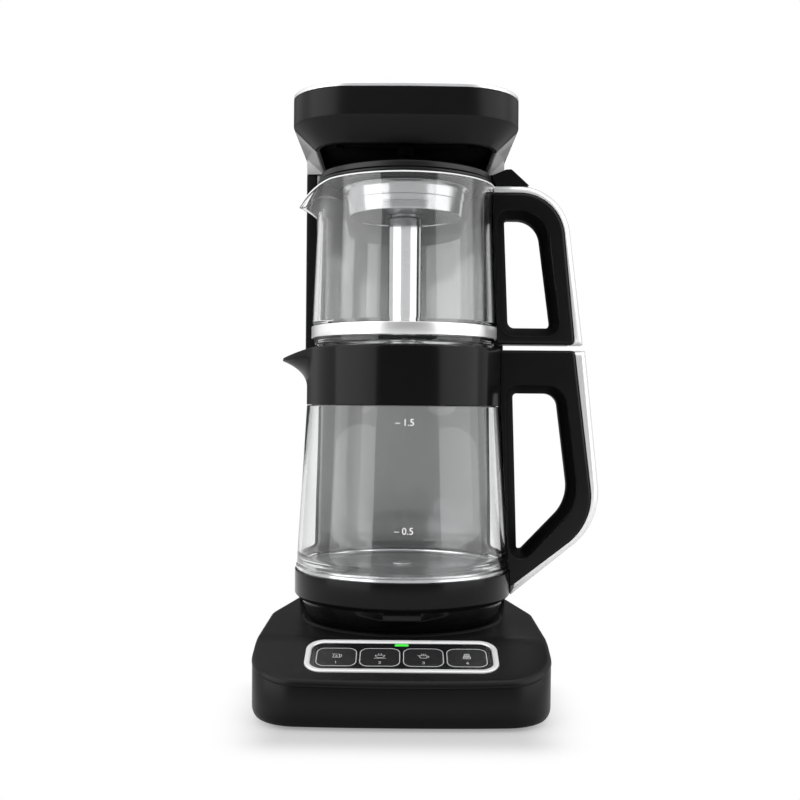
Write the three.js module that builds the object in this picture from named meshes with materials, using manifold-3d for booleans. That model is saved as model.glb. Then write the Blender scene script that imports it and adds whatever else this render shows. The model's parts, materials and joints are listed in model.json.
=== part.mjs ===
// Automatic tea maker: a kettle with a nested teapot stands on a powered base, below a filling head.
// Lengths are in millimetres and angles in degrees. +Z is up and the front of the machine faces -Y.
// Everything is laid out round the upright axis that the kettle, the teapot and the lid share.
import * as THREE from 'three';
import { mergeVertices } from 'three/addons/utils/BufferGeometryUtils.js';
import Module from 'manifold-3d';

const wasm = await Module();
wasm.setup();

// Fits and walls that several pieces share
const gap = 0.3;
const overrun = 2;
const mouldWall = 2.6;
const sheetWall = 1.2;

// Facets of round pieces
const largeSides = 32;
const middleSides = 24;
const smallSides = 12;
const filletSteps = 2;
const planSteps = 4;
const hoseSteps = 12;

// The kettle's lower ring, which the base, the column and the pots are built round
const ringRadius = 77;
const wellClearance = 9;
const wellRadius = ringRadius + wellClearance;

// Base: a wedge whose flat seat falls away towards the front
const baseSide = 18;
const baseReach = 50;
const cavitySetBack = 6;
const cavityDepth = 30;
const cavityFront = wellRadius + cavitySetBack;
const baseHalfWidth = ringRadius + baseSide;
const baseFront = -ringRadius - baseReach;
const baseBack = cavityFront + cavityDepth;
const baseFrontBow = 3.6;
const baseFrontCorner = 36;
const shoulderStart = 12;
const shoulderEnd = 92;
const shoulderRadius = 44;
const baseBackCorner = 16;
const seatLevel = 46.8;
const foldSetBack = 3;
const foldPlace = foldSetBack - ringRadius;
const foldBlend = 4;
const slopeAngle = 17;
const crestDrop = 3.8;
const crestRound = 3;
const trayBottomRound = 5;
const trayBottomRise = 8;
const trayFloor = 3;

// Feet
const footHeight = 1.6;
const footRadius = 8;
const footSetIn = 27;

// Control panel, measured on the slope
const panelSetBack = 29.9;
const panelPlace = baseFront + panelSetBack;
const bezelWidth = 122;
const bezelHeight = 38.9;
const bezelCorner = 12;
const bezelBand = 3.6;
const bezelStand = 1.1;
const bezelRebate = 1;
const plateStand = 0.4;
const keyCount = 4;
const keyMarginInside = 2.6;
const keyMargin = bezelBand + keyMarginInside;
const keySpacing = 1.2;
const keySurroundInside = 8.9;
const keySurround = 2 * bezelBand + keySurroundInside;
const keyPitch = (bezelWidth - 2 * keyMargin) / keyCount;
const keyWidth = keyPitch - keySpacing;
const keyHeight = bezelHeight - keySurround;
const keyCorner = 6;
const keyDrop = 2.2;
const keyStand = 0.7;
const keyDepth = 2.6;
const lampWidth = 9;
const lampHeight = 2.6;
const lampInsetInside = 2.35;
const lampInset = bezelBand + lampInsetInside;
const lampRise = bezelHeight / 2 - lampInset;
const matThickness = 1;
const boardThickness = 1.6;
const boardMargin = 1.5;
const boardClearance = 8.1;
const boardLength = 47.6;

// Kettle seat, connector and coupling
const seatSetIn = 5;
const seatBand = 14;
const seatRadius = ringRadius - seatSetIn;
const seatInner = seatRadius - seatBand;
const seatStand = 1.5;
const seatRebate = 1;
const connectorRadius = 18;
const connectorRise = 5.4;
const connectorDepth = 15;
const connectorGroove = 1.4;
const couplingRadius = 6;
const couplingBore = 3;
const couplingRise = 5.9;
const couplingDepth = 31;

// Kettle
const kettleFootHeight = 15.5;
const ringBottom = seatLevel + kettleFootHeight;
const ringHeight = 20;
const ringTop = ringBottom + ringHeight;
const ringChamfer = 3;
const footStep = 5.5;
const footTopRadius = ringRadius - footStep;
const footTaper = 4.5;
const footBottomRadius = footTopRadius - footTaper;
const footWall = 2.6;
const lugWidth = 25;
const lugHeight = 5;
const lugStand = 1.6;
const floorSetIn = 6;
const floorRadius = ringRadius - floorSetIn;
const floorRise = 1.7;
const floorLevel = ringTop + floorRise;
const floorWall = 1.5;
const floorDish = 1.6;
const elementSetIn = 27;
const elementRadius = floorRadius - elementSetIn;
const elementTube = 4;
const socketRadius = 24;
const socketRise = 10;
const poppetRadius = 4;
const glassWall = 2.6;
const glassSetIn = 1.2;
const kettleGlassFoot = ringRadius - glassSetIn;
const glassBead = 3.6;
const collarSetIn = 7.4;
const neckSetIn = 0.2;
const collarRadius = ringRadius - collarSetIn;
const glassHeight = 116;
const collarBottom = ringTop + glassHeight;
const kettleGlassNeck = collarRadius - neckSetIn;
const collarHeight = 40.3;
const collarTop = collarBottom + collarHeight;
const collarWall = 2.6;
const ledgeReach = 11.6;
const ledgeInner = collarRadius - ledgeReach;
const ledgeWall = 3;
const beakReach = 17.6;
const beakRise = 12.7;
const beakBottom = collarBottom + beakRise;
const beakDroop = 6.8;
const beakTip = collarTop - beakDroop;
const beakHalfAngle = 25;
const beakSteps = 5;
const beakRiseShares = [0.4, 0.7];
const beakDroopShare = 0.35;

// Kettle handle, seen from the front
const handleThickness = 24;
const handleEdge = 2;
const windowChamfer = 6;
const kettleHandleFoot = ringBottom;
const kettleHandleTop = collarTop - gap;
const kettleHandleInner = 66;
const kettleHandleReach = 136.1;
const kettleHandleBend = 42;
const kettleStripBend = 47;
const kettleWindowBend = 30;
const stripThickness = 22;
const stripRound = 4.6;
const stripSteps = 3;

// Teapot, standing on the collar's ledge
const ledgeSink = 6;
const ledgeTop = collarTop - ledgeSink;
const sealHeight = 4.2;
const potBottom = ledgeTop + sealHeight + 2 * gap;
const bandRise = 8.2;
const bandHeight = 8.4;
const bandBottom = potBottom + bandRise;
const bandTop = bandBottom + bandHeight;
const potBodyRise = 2;
const potBodyLevel = bandTop + potBodyRise;
const potHeight = 117.3;
const potNeckDrop = 16.7;
const potRimLevel = potBottom + potHeight;
const potNeckLevel = potRimLevel - potNeckDrop;
const potSeatLap = 1;
const potSeatRadius = ledgeInner + potSeatLap;
const potSetIn = 3.6;
const potTaper = 3.2;
const potGlassFoot = collarRadius - potSetIn;
const potGlassNeck = potGlassFoot - potTaper;
const potRimFlare = 1;
const potRimRadius = potGlassNeck + potRimFlare;
const potFloorWall = 4;
const bandStand = 0.6;
const bandRadius = potGlassFoot + bandStand;
const lipReach = 12.4;
const lipDroop = 13.6;
const lipHalfAngle = 38;
const lipSteps = 6;
const lipReachShare = 0.45;
const lipDroopShare = 0.75;
const neckDroopShare = 0.6;
const riserRadius = 12.2;
const riserFlange = 24;
const riserNeck = 10.6;
const riserNeckRise = 5;
const cupSink = 1.3;
const cupDepth = 20.4;
const cupStepDrop = 13.9;
const cupTop = potRimLevel - cupSink;
const cupStep = cupTop - cupStepDrop;
const cupBottom = cupTop - cupDepth;
const cupRadius = 40.5;
const cupStepOut = 2;
const hubHeight = 10;
const cupLipOut = 4.5;
const cupLip = cupRadius + cupLipOut;

// Teapot handle, seen from the front
const handleParting = 4.1;
const potHandleFoot = kettleHandleTop + handleParting;
const potHandleDrop = 4.7;
const potHandleTop = potRimLevel - potHandleDrop;
const potHandleInner = 60;
const potHandleReach = 121.1;
const potHandleBend = 32;
const potStripBend = 37;
const potWindowBend = 17;

// Lid, closing the teapot's rim
const lidFlangeSetIn = 0.9;
const lidTopSetIn = 1.5;
const lidGrooveDepth = 1.4;
const lidPlugSetIn = 5.2;
const lidHeight = 7.3;
const lidFlange = potRimRadius - lidFlangeSetIn;
const lidRadius = lidFlange - lidTopSetIn;
const lidGroove = lidRadius - lidGrooveDepth;
const lidPlug = potRimRadius - lidPlugSetIn;
const lidTop = potRimLevel + lidHeight;
const lidFlangeWall = 2;
const lidPlugDepth = 5.4;
const lidDish = 3;
const lidFunnel = 14;
const lidFunnelBore = 6;
const tabReach = 88;
const tabThickness = 15;
const tabRise = 5.6;
const tabDrop = 5.8;
const tabPeak = lidTop + tabRise;
const tabFoot = lidTop - tabDrop;

// Head, standing over the lid
const headClearance = 21.4;
const undersideLevel = lidTop + headClearance;
const headCreaseRise = 6.2;
const headBandHeight = 18.8;
const headCrease = undersideLevel + headCreaseRise;
const headTop = headCrease + headBandHeight;
const nozzleDrop = 5.9;
const nozzleRise = 5.6;
const nozzleTip = undersideLevel - nozzleDrop;
const nozzleTop = undersideLevel + nozzleRise;
const hoseRunDrop = 8.8;
const hoseRunLevel = headTop - hoseRunDrop;
const headStand = 1;
const headHalf = ringRadius + headStand;
const headFront = -68;
const headCorner = 42;
const headBandInset = 15;
const headWall = 3;
const rimHeight = 3.2;
const rimBand = 4.6;
const undersideWall = 2.2;
const trimStart = -24;
const trimWall = 1.5;
const nozzleRadius = 5.5;
const nozzleFlange = 11;
const screwRadius = 3.2;
const screwHead = 1.6;
const screwSpread = 47;
const screwPlace = -6;

// Column, drawn in to a waist beside the kettle's glass
const waistRise = 1.7;
const waistLow = ringTop + waistRise;
const waistHigh = collarBottom + waistRise;
const shoulderDrop = 4.6;
const columnShoulder = collarTop - shoulderDrop;
const columnNeck = 8.4;
const columnTop = undersideLevel - columnNeck;
const hoseRise = 7;
const headHoseStart = columnTop + hoseRise;
const columnSetIn = 1;
const columnSpread = 3;
const waistSetIn = 8;
const columnTopHalf = ringRadius - columnSetIn;
const columnFootHalf = columnTopHalf + columnSpread;
const waistHalf = columnFootHalf - waistSetIn;
const wingFront = 55;
const linerWall = 1.4;
const columnCorner = 18;
const cavityHalf = 47;
const rearCoverHalf = 52;
const rearCoverWall = 3.4;

// Pump set and pipework
const pumpRadius = 15.6;
const pumpFront = 34;
const pumpLength = 16;
const pumpWall = 2.4;
const rotorHub = 3.6;
const rotorBlade = 1.6;
const rotorBlades = 6;
const shaftRadius = 1.5;
const shaftClearance = 0.4;
const motorRadius = 13.5;
const motorLength = 34;
const hoseRadius = 4.5;
const hoseBore = 3;
const hoseBend = 14;
const nippleLength = 9;
const riserSide = 30;
const riserSetBack = 12;
const riserBack = cavityFront + riserSetBack;

// Cord gland and the places that the pump set follows
const glandRadius = 6;
const glandPlace = -50;
const glandLevel = 20;
const glandStand = 2;
const shaftReach = 9;
const pumpLevel = footHeight + trayFloor + gap + pumpRadius;
const headBow = 1;
const slotCount = 5;
const slotRise = 14;
const slotPitch = 7;
const slotHalf = 34;
const elementPoints = 13;
const elementGap = 22;
const poppetLift = 1.2;
const poppetCap = 7;
const beakSharpness = 1.5;
const lipSharpness = 1.7;
const potWall = 2.4;
const holeRows = [[0.4, 6], [0.75, 12]];
const holeRadius = 1.2;

// Colours
const paint = {
  black: { color: 0x141415, roughness: 0.42, metalness: 0 },
  gloss: { color: 0x0b0b0c, roughness: 0.12, metalness: 0 },
  dark: { color: 0x3a3a3c, roughness: 0.4, metalness: 0 },
  chrome: { color: 0xd9dbdd, roughness: 0.12, metalness: 1 },
  silver: { color: 0xb9babb, roughness: 0.35, metalness: 0.6 },
  steel: { color: 0xc4c6c8, roughness: 0.28, metalness: 1 },
  glass: { color: 0xe9eef0, roughness: 0.04, metalness: 0, transparent: true, opacity: 0.3 },
  rubber: { color: 0x1b1b1c, roughness: 0.8, metalness: 0 },
  clear: { color: 0xdfe3e3, roughness: 0.4, metalness: 0 },
  board: { color: 0x1d5a35, roughness: 0.5, metalness: 0 },
  lamp: { color: 0x2bd02b, roughness: 0.3, metalness: 0 },
};

// Mesh building
const degrees = Math.PI / 180;
const machine = new THREE.Group();

// A closed triangle mesh as a solid that can be joined and cut, its faces turned outwards
function solid(geometry) {
  const bare = geometry.index ? geometry.clone() : geometry;
  bare.deleteAttribute('normal');
  bare.deleteAttribute('uv');
  const merged = mergeVertices(bare);
  const vertProperties = new Float32Array(merged.attributes.position.array);
  const corners = Array.from(merged.index.array);
  const triangles = [];
  const at = (corner) => new THREE.Vector3().fromArray(vertProperties, 3 * corner);
  let volume = 0;
  for (let i = 0; i < corners.length; i += 3) {
    const [a, b, c] = corners.slice(i, i + 3);
    if (a !== b && b !== c && c !== a) {
      triangles.push([a, b, c]);
      volume += at(a).dot(at(b).cross(at(c)));
    }
  }
  const turned = volume < 0 ? triangles.map(([a, b, c]) => [a, c, b]) : triangles;
  const triVerts = new Uint32Array(turned.flat());
  return new wasm.Manifold(new wasm.Mesh({ numProp: 3, vertProperties, triVerts }));
}

function cut(body, ...tools) {
  return tools.reduce((left, tool) => left.subtract(tool), body);
}

function join(body, ...others) {
  return others.reduce((sum, other) => sum.add(other), body);
}

// A solid as a named mesh, in the machine or in one of its groups
function add(name, body, finish, parent = machine) {
  const mesh = body.getMesh();
  const geometry = new THREE.BufferGeometry();
  geometry.setAttribute('position', new THREE.BufferAttribute(new Float32Array(mesh.vertProperties), 3));
  geometry.setIndex(Array.from(mesh.triVerts));
  geometry.computeVertexNormals();
  const piece = new THREE.Mesh(geometry, new THREE.MeshStandardMaterial(paint[finish]));
  piece.name = name;
  parent.add(piece);
  return piece;
}

// A profile of [radius, level] corners turned about the upright axis
function turned(profile, sides = largeSides) {
  const first = profile[0];
  const last = profile[profile.length - 1];
  const corners = profile.map(([radius, level]) => new THREE.Vector2(radius, level));
  if (first[0] > 0 || last[0] > 0) corners.push(new THREE.Vector2(...first));
  return solid(new THREE.LatheGeometry(corners, sides).rotateX(90 * degrees));
}

// A disc, or a ring where an inner radius is given, between two levels
function disc(radius, bottom, top, inner = 0, sides = largeSides) {
  return turned([[inner, bottom], [radius, bottom], [radius, top], [inner, top]], sides);
}

// The outline drawn by [x, y, radius] corners, each rounded by its radius. Two roundings that
// would meet on the edge between them are both drawn in to fit it.
function outline(corners, steps = filletSteps) {
  const points = [];
  const places = corners.map(([x, y]) => new THREE.Vector2(x, y));
  const edges = places.map((here, i) => places[(i + 1) % places.length].clone().sub(here));
  const before = (i) => (i + edges.length - 1) % edges.length;
  const halves = edges.map((edge, i) => (Math.PI - Math.acos(THREE.MathUtils.clamp(
    edges[before(i)].clone().normalize().dot(edge.clone().normalize()), -1, 1))) / 2);
  const setbacks = corners.map(([, , radius = 0], i) => radius / Math.tan(halves[i]));
  const room = edges.map((edge, i) => {
    const taken = setbacks[i] + setbacks[(i + 1) % edges.length];
    return taken > edge.length() ? edge.length() / taken : 1;
  });
  corners.forEach(([, , wanted = 0], i) => {
    const here = places[i];
    const half = halves[i];
    const radius = wanted * Math.min(room[i], room[before(i)]);
    if (radius === 0 || Math.cos(half) === 0) {
      points.push(here);
      return;
    }
    const back = edges[before(i)].clone().negate().normalize();
    const ahead = edges[i].clone().normalize();
    const centre = here.clone().add(back.clone().add(ahead).setLength(radius / Math.sin(half)));
    const start = here.clone().addScaledVector(back, radius / Math.tan(half)).sub(centre);
    const end = here.clone().addScaledVector(ahead, radius / Math.tan(half)).sub(centre);
    const turn = Math.atan2(start.cross(end), start.dot(end));
    for (let step = 0; step <= steps; step += 1) {
      points.push(start.clone().rotateAround(new THREE.Vector2(), (turn * step) / steps).add(centre));
    }
  });
  return points;
}

// The same outline drawn in by a distance, or out by a negative one
function inset(points, distance) {
  const area = THREE.ShapeUtils.area(points);
  return points.map((point, i) => {
    const before = point.clone().sub(points[(i + points.length - 1) % points.length]).normalize();
    const after = points[(i + 1) % points.length].clone().sub(point).normalize();
    const normal = new THREE.Vector2(-before.y - after.y, before.x + after.x).normalize();
    const share = Math.max(Math.sqrt((1 + before.dot(after)) / 2), 0.4);
    return point.clone().addScaledVector(normal, (Math.sign(area) * distance) / share);
  });
}

// A plate of the given outline, standing between two levels
function plate(points, bottom, top, holes = []) {
  const shape = new THREE.Shape(points);
  shape.holes = holes.map((hole) => new THREE.Path(hole));
  const settings = { depth: top - bottom, bevelEnabled: false, steps: 1 };
  return solid(new THREE.ExtrudeGeometry(shape, settings).translate(0, 0, bottom));
}

// A plate drawn in the front view, x across and z up, between two places along Y
function standing(points, front, back, holes = []) {
  return plate(points, -back, -front, holes).rotate([90, 0, 0]);
}

// A skin over rings of equal counts, either closed on its first ring or capped at both ends.
// A cap joins each point to its mirror image, so it follows a surface that bends along Y.
function skin(rings, closed = false) {
  const count = rings[0].length;
  const corners = rings.flat().flatMap((point) => [point.x, point.y, point.z]);
  const faces = [];
  const last = closed ? rings.length : rings.length - 1;
  for (let r = 0; r < last; r += 1) {
    const low = r * count;
    const high = ((r + 1) % rings.length) * count;
    for (let i = 0; i < count; i += 1) {
      const j = (i + 1) % count;
      faces.push(low + i, low + j, high + j, low + i, high + j, high + i);
    }
  }
  if (!closed) {
    const top = (rings.length - 1) * count;
    for (let i = 0; i < count / 2; i += 1) {
      const mirrored = (count - i) % count;
      const next = count - i - 1;
      faces.push(mirrored, next, i + 1, mirrored, i + 1, i);
      faces.push(top + i, top + i + 1, top + next, top + i, top + next, top + mirrored);
    }
  }
  const geometry = new THREE.BufferGeometry();
  geometry.setAttribute('position', new THREE.Float32BufferAttribute(corners, 3));
  geometry.setIndex(faces);
  return solid(geometry);
}

// A rounded rectangle about a centre
function rounded(width, height, radius, x = 0, y = 0) {
  const right = x + width / 2;
  const left = x - width / 2;
  const top = y + height / 2;
  const bottom = y - height / 2;
  const corners = [[right, bottom], [right, top], [left, top], [left, bottom]];
  return outline(corners.map((corner) => [...corner, radius]));
}

function block(x, y, bottom, top) {
  const [left, right] = x;
  const [front, back] = y;
  return plate(outline([[left, front], [right, front], [right, back], [left, back]]), bottom, top);
}

// A round bar or, with a bore, a pipe along a path
function pipe(path, radius, bore, steps) {
  const shape = new THREE.Shape().absarc(0, 0, radius, 0, 2 * Math.PI);
  if (bore > 0) shape.holes = [new THREE.Path().absarc(0, 0, bore, 0, 2 * Math.PI, true)];
  const settings = { extrudePath: path, steps, curveSegments: smallSides / 3 };
  return solid(new THREE.ExtrudeGeometry(shape, settings));
}

// Straight runs between [x, y, z] corners, with a bend of one radius at each corner
function route(corners, bend) {
  const path = new THREE.CurvePath();
  const places = corners.map((corner) => new THREE.Vector3(...corner));
  let from = places[0];
  places.slice(1, -1).forEach((corner, i) => {
    const start = corner.clone().add(places[i].clone().sub(corner).setLength(bend));
    const end = corner.clone().add(places[i + 2].clone().sub(corner).setLength(bend));
    path.add(new THREE.LineCurve3(from, start));
    path.add(new THREE.QuadraticBezierCurve3(start, corner, end));
    from = end;
  });
  path.add(new THREE.LineCurve3(from, places[places.length - 1]));
  return path;
}

// The level of the base's top surface: a flat seat, a soft fold and a straight slope to the front
function seatSurface(y) {
  const ahead = foldPlace - y;
  const bent = Math.abs(ahead) < foldBlend ? (ahead + foldBlend) ** 2 / (4 * foldBlend) : Math.max(ahead, 0);
  return seatLevel - bent * Math.tan(slopeAngle * degrees);
}

// A ring of points at one level, or at a level that follows Y
function ringAt(points, level) {
  return points.map((point) => new THREE.Vector3(point.x, point.y, level(point.y)));
}

// One side of an outline that is the same on both sides, closed by its mirror image
function mirroredOutline(side, steps) {
  const half = outline([...side, ...side.slice(1, -1).reverse().map(([x, y, r]) => [-x, y, r])], steps);
  return half.map((point) => new THREE.Vector2(point.x, point.y));
}

function basePlan() {
  const stations = [-1, 0, 1].map((share) => [baseHalfWidth, foldPlace + share * foldBlend]);
  return mirroredOutline([
    [0, baseFront],
    [baseHalfWidth / 2, baseFront + baseFrontBow / 4],
    [baseHalfWidth, baseFront + baseFrontBow, baseFrontCorner - foldBlend],
    ...stations,
    [baseHalfWidth, shoulderStart, shoulderRadius],
    [columnFootHalf, shoulderEnd, shoulderRadius / 2],
    [columnFootHalf, baseBack, baseBackCorner],
    [0, baseBack],
  ], planSteps);
}

// The moulded tray: a rounded bottom edge, walls that lean out to the parting line, and an open top
function makeTray() {
  const plan = basePlan();
  const split = (y) => seatSurface(y) - crestDrop - gap;
  const low = footHeight;
  const roundShares = [[1, 0], [0.5, 0.11], [0.2, 0.42], [0.07, 1]];
  const outside = roundShares.map(([drawn, rise]) => {
    return ringAt(inset(plan, drawn * trayBottomRound), () => low + rise * trayBottomRise);
  });
  outside.push(ringAt(plan, split));
  const inside = [
    ringAt(inset(plan, mouldWall), split),
    ringAt(inset(plan, mouldWall + sheetWall / 3), () => low + trayBottomRise),
    ringAt(inset(plan, mouldWall + trayBottomRound / 2), () => low + trayFloor),
  ];
  const entry = disc(glandRadius, 0, 4 * glandRadius, 0, smallSides);
  const sockets = footPlaces().map(([x, y]) => {
    return disc(footRadius / 2 + gap, 0, low + trayFloor + overrun, 0, smallSides).translate([x, y, 0]);
  });
  const wallHole = entry.rotate([90, 0, 0]).translate([glandPlace, baseBack + overrun, glandLevel]);
  return cut(skin([...outside, ...inside]), wallHole, ...sockets);
}

function footPlaces() {
  const front = baseFront + baseFrontBow + footSetIn;
  const back = baseBack - footSetIn;
  return [[-1, front], [1, front], [-1, back], [1, back]].map(([side, y]) => {
    return [side * (y < 0 ? baseHalfWidth : columnFootHalf) - side * footSetIn, y];
  });
}

// A rubber foot: a round pad with a stem pushed into the tray's floor
function makeFoot() {
  const stem = footRadius / 2;
  return turned([[0, 0], [footRadius - gap, 0], [footRadius, gap], [footRadius, footHeight - gap],
    [stem, footHeight - gap], [stem, footHeight + trayFloor], [0, footHeight + trayFloor]], smallSides);
}

// Shapes on the sloped front are drawn flat and carried onto the slope
function onSlope(body) {
  return body.rotate([slopeAngle, 0, 0]).translate([0, panelPlace, slopeLevel()]);
}

function slopeLevel() {
  return seatSurface(panelPlace);
}

// The top cover: one slab that follows the seat and the slope, with a rounded crest
function makeTopCover() {
  const plan = basePlan();
  const crestShares = [[0, crestDrop / crestRound], [0, 1], [0.12, 0.5], [0.4, 0.16], [1, 0]];
  const rings = crestShares.map(([drawn, down]) => {
    return ringAt(inset(plan, drawn * crestRound), (y) => seatSurface(y) - down * crestRound);
  });
  const rebate = onSlope(plate(rounded(bezelWidth + 2 * gap, bezelHeight + 2 * gap, bezelCorner + gap),
    -bezelRebate, crestDrop));
  const window = onSlope(plate(keyField(), -2 * crestDrop, crestDrop));
  const seat = disc(seatRadius + gap, seatLevel - seatRebate, seatLevel + overrun, seatInner - gap);
  const post = disc(connectorRadius + gap, 0, seatLevel + overrun);
  const duct = block([riserSide - hoseRadius - 2 * gap, riserSide + hoseRadius + 2 * gap],
    [riserBack - hoseRadius - 2 * gap, riserBack + hoseRadius + 2 * gap], 0, seatLevel + overrun);
  return cut(skin(rings), rebate, window, seat, post, duct);
}

// The opening under the keys
function keyField() {
  const width = (keyCount - 1) * keyPitch + keyWidth + 4 * gap;
  return rounded(width, keyHeight + 4 * gap, keyCorner + gap, 0, -keyDrop);
}

function keyPlace(index) {
  return (index - (keyCount - 1) / 2) * keyPitch;
}

function makeBezel() {
  const inner = rounded(bezelWidth - 2 * bezelBand, bezelHeight - 2 * bezelBand, bezelCorner - bezelBand);
  const outer = rounded(bezelWidth, bezelHeight, bezelCorner);
  const low = gap - bezelRebate;
  const crown = bezelStand / 3;
  const rings = [
    ringAt(outer, () => low),
    ringAt(outer, () => bezelStand - 2 * crown),
    ringAt(inset(outer, bezelBand / 4), () => bezelStand),
    ringAt(inset(outer, bezelBand / 2), () => bezelStand),
    ringAt(inner, () => bezelStand - crown),
    ringAt(inner, () => low),
  ];
  return onSlope(skin(rings, true));
}

function makePanelPlate() {
  const clear = 2 * (bezelBand + gap);
  const edge = rounded(bezelWidth - clear, bezelHeight - clear, bezelCorner - bezelBand - gap);
  const keys = Array.from({ length: keyCount }, (_, i) => {
    return rounded(keyWidth + 2 * gap, keyHeight + 2 * gap, keyCorner + gap, keyPlace(i), -keyDrop);
  });
  const lamp = rounded(lampWidth + 2 * gap, lampHeight + 2 * gap, lampHeight / 2, 0, lampRise);
  return onSlope(plate(edge, gap - bezelRebate, plateStand, [...keys, lamp]));
}

function makeLamp() {
  return onSlope(plate(rounded(lampWidth, lampHeight, lampHeight / 2 - gap, 0, lampRise),
    gap - bezelRebate, plateStand + gap));
}

// A key: a rounded cap whose face is dished a little, standing just proud of the plate
function makeKey(index) {
  const edge = rounded(keyWidth, keyHeight, keyCorner, keyPlace(index), -keyDrop);
  const body = plate(edge, -keyDepth, keyStand / 2);
  const face = plate(inset(edge, keyStand), -keyDepth, keyStand);
  return onSlope(join(body, face));
}

function makeKeyMat() {
  const top = -crestDrop * Math.cos(slopeAngle * degrees) - gap;
  const width = bezelWidth - 2 * bezelBand;
  const mat = rounded(width, keyHeight + 2 * boardMargin, bezelCorner / 4, 0, -keyDrop - gap);
  return onSlope(plate(mat, top - matThickness, top));
}

function makeControlBoard() {
  const top = -crestDrop * Math.cos(slopeAngle * degrees) - 2 * gap - matThickness;
  const board = rounded(bezelWidth, keyHeight + 4 * boardMargin, boardMargin, 0, -keyDrop - boardMargin);
  return onSlope(plate(board, top - boardThickness, top));
}

// The seat ring: a low ring let into the cover, on which the kettle's foot turns
function makeSeatRing() {
  const low = seatLevel - seatRebate + gap;
  const top = seatLevel + seatStand;
  return turned([[seatInner, low], [seatRadius, low], [seatRadius, top - seatStand],
    [seatRadius - seatStand, top], [seatInner + seatStand, top], [seatInner, top - seatStand]]);
}

// The round power connector: a post with contact grooves, so that the kettle seats at any angle
function makeConnector() {
  const low = seatLevel - connectorDepth;
  const top = seatLevel + connectorRise;
  const middle = (couplingRadius + connectorRadius) / 2;
  const groove = disc(middle + connectorGroove, top - connectorGroove, top + overrun,
    middle - connectorGroove, middleSides);
  const post = turned([[couplingRadius + gap, low], [connectorRadius + mouldWall, low],
    [connectorRadius + mouldWall, seatLevel - crestDrop - gap],
    [connectorRadius, seatLevel - crestDrop - gap],
    [connectorRadius, top - connectorGroove], [connectorRadius - connectorGroove, top],
    [couplingRadius + gap, top]], middleSides);
  return cut(post, groove);
}

// The water coupling: an upright tube in the connector, with a nipple towards the pump
function makeCoupling() {
  const low = seatLevel - couplingDepth;
  const top = seatLevel + couplingRise;
  const tube = turned([[0, low], [couplingRadius, low], [couplingRadius, top - gap],
    [couplingRadius - gap, top], [0, top]], smallSides);
  const nipple = disc(hoseRadius, 0, couplingRadius + nippleLength, 0, smallSides).rotate([-90, 0, 0]);
  const bore = disc(couplingBore, low + mouldWall, top + overrun, 0, smallSides);
  const sideBore = disc(hoseBore, 0, couplingRadius + nippleLength + overrun, 0, smallSides)
    .rotate([-90, 0, 0]);
  return cut(join(tube, nipple.translate([0, 0, pumpLevel])), bore, sideBore.translate([0, 0, pumpLevel]));
}

function lyingAlongY(body, start) {
  return body.rotate([-90, 0, 0]).translate([0, start, pumpLevel]);
}

function makeInletHose() {
  const start = couplingRadius + nippleLength + gap;
  return lyingAlongY(disc(hoseRadius, 0, pumpFront - gap - start, hoseBore, smallSides), start);
}

// The pump: a round chamber with its inlet in front, its outlet at the side and a hole for the shaft
function makePumpHousing() {
  const chamber = disc(pumpRadius - pumpWall, pumpWall, pumpLength - pumpWall, 0, middleSides);
  const body = disc(pumpRadius, 0, pumpLength, 0, middleSides);
  const inlet = disc(hoseBore, -overrun, pumpLength / 2, 0, smallSides);
  const shaft = disc(shaftRadius + shaftClearance, pumpLength / 2, pumpLength + overrun, 0, smallSides);
  const outlet = disc(hoseRadius, 0, pumpRadius + nippleLength / 2, 0, smallSides).rotate([0, 90, 0]);
  const outletBore = disc(hoseBore, 0, pumpRadius + nippleLength, 0, smallSides).rotate([0, 90, 0]);
  const middle = [0, 0, pumpLength / 2];
  const whole = cut(join(body, outlet.translate(middle)), chamber, inlet, shaft,
    outletBore.translate(middle));
  return lyingAlongY(whole, pumpFront);
}

// The rotor: a hub with straight blades on a shaft that reaches into the motor
function makeRotor() {
  const run = pumpLength - 2 * pumpWall - 2 * shaftClearance;
  const reach = pumpRadius - pumpWall - 2 * shaftClearance;
  const hub = disc(rotorHub, 0, run, 0, smallSides);
  const blades = Array.from({ length: rotorBlades }, (_, i) => {
    const blade = block([0, reach], [-rotorBlade / 2, rotorBlade / 2], 0, run);
    return blade.rotate([0, 0, (360 * i) / rotorBlades]);
  });
  const shaft = disc(shaftRadius, 0, run + pumpWall + shaftClearance + shaftReach, 0, smallSides);
  return lyingAlongY(join(hub, shaft, ...blades), pumpFront + pumpWall + shaftClearance);
}

function makeMotor() {
  const can = turned([[0, 0], [motorRadius, 0], [motorRadius, motorLength - mouldWall],
    [motorRadius - mouldWall, motorLength], [0, motorLength]], middleSides);
  const bore = disc(shaftRadius + shaftClearance, -overrun, shaftReach + 2 * shaftClearance, 0, smallSides);
  const seat = block([-motorRadius / 2, motorRadius / 2], [motorRadius / 2, pumpLevel - trayTop() - gap],
    mouldWall, motorLength - mouldWall);
  return lyingAlongY(cut(join(can, seat), bore), pumpFront + pumpLength + gap);
}

function trayTop() {
  return footHeight + trayFloor;
}

// The hose from the pump's side to the foot of the riser pipe
function makePumpHose() {
  const middle = pumpFront + pumpLength / 2;
  const corners = [
    [pumpRadius + nippleLength / 2 + gap, middle, pumpLevel],
    [riserSide + hoseBend, middle, pumpLevel],
    [riserSide + hoseBend, riserBack, pumpLevel],
    [riserSide, riserBack, pumpLevel],
    [riserSide, riserBack, seatLevel],
  ];
  return pipe(route(corners, hoseBend / 2 - gap), hoseRadius, hoseBore, hoseSteps);
}

function makeRiserPipe() {
  return disc(hoseRadius, seatLevel + gap, headHoseStart, hoseBore, smallSides)
    .translate([riserSide, riserBack, 0]);
}

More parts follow.
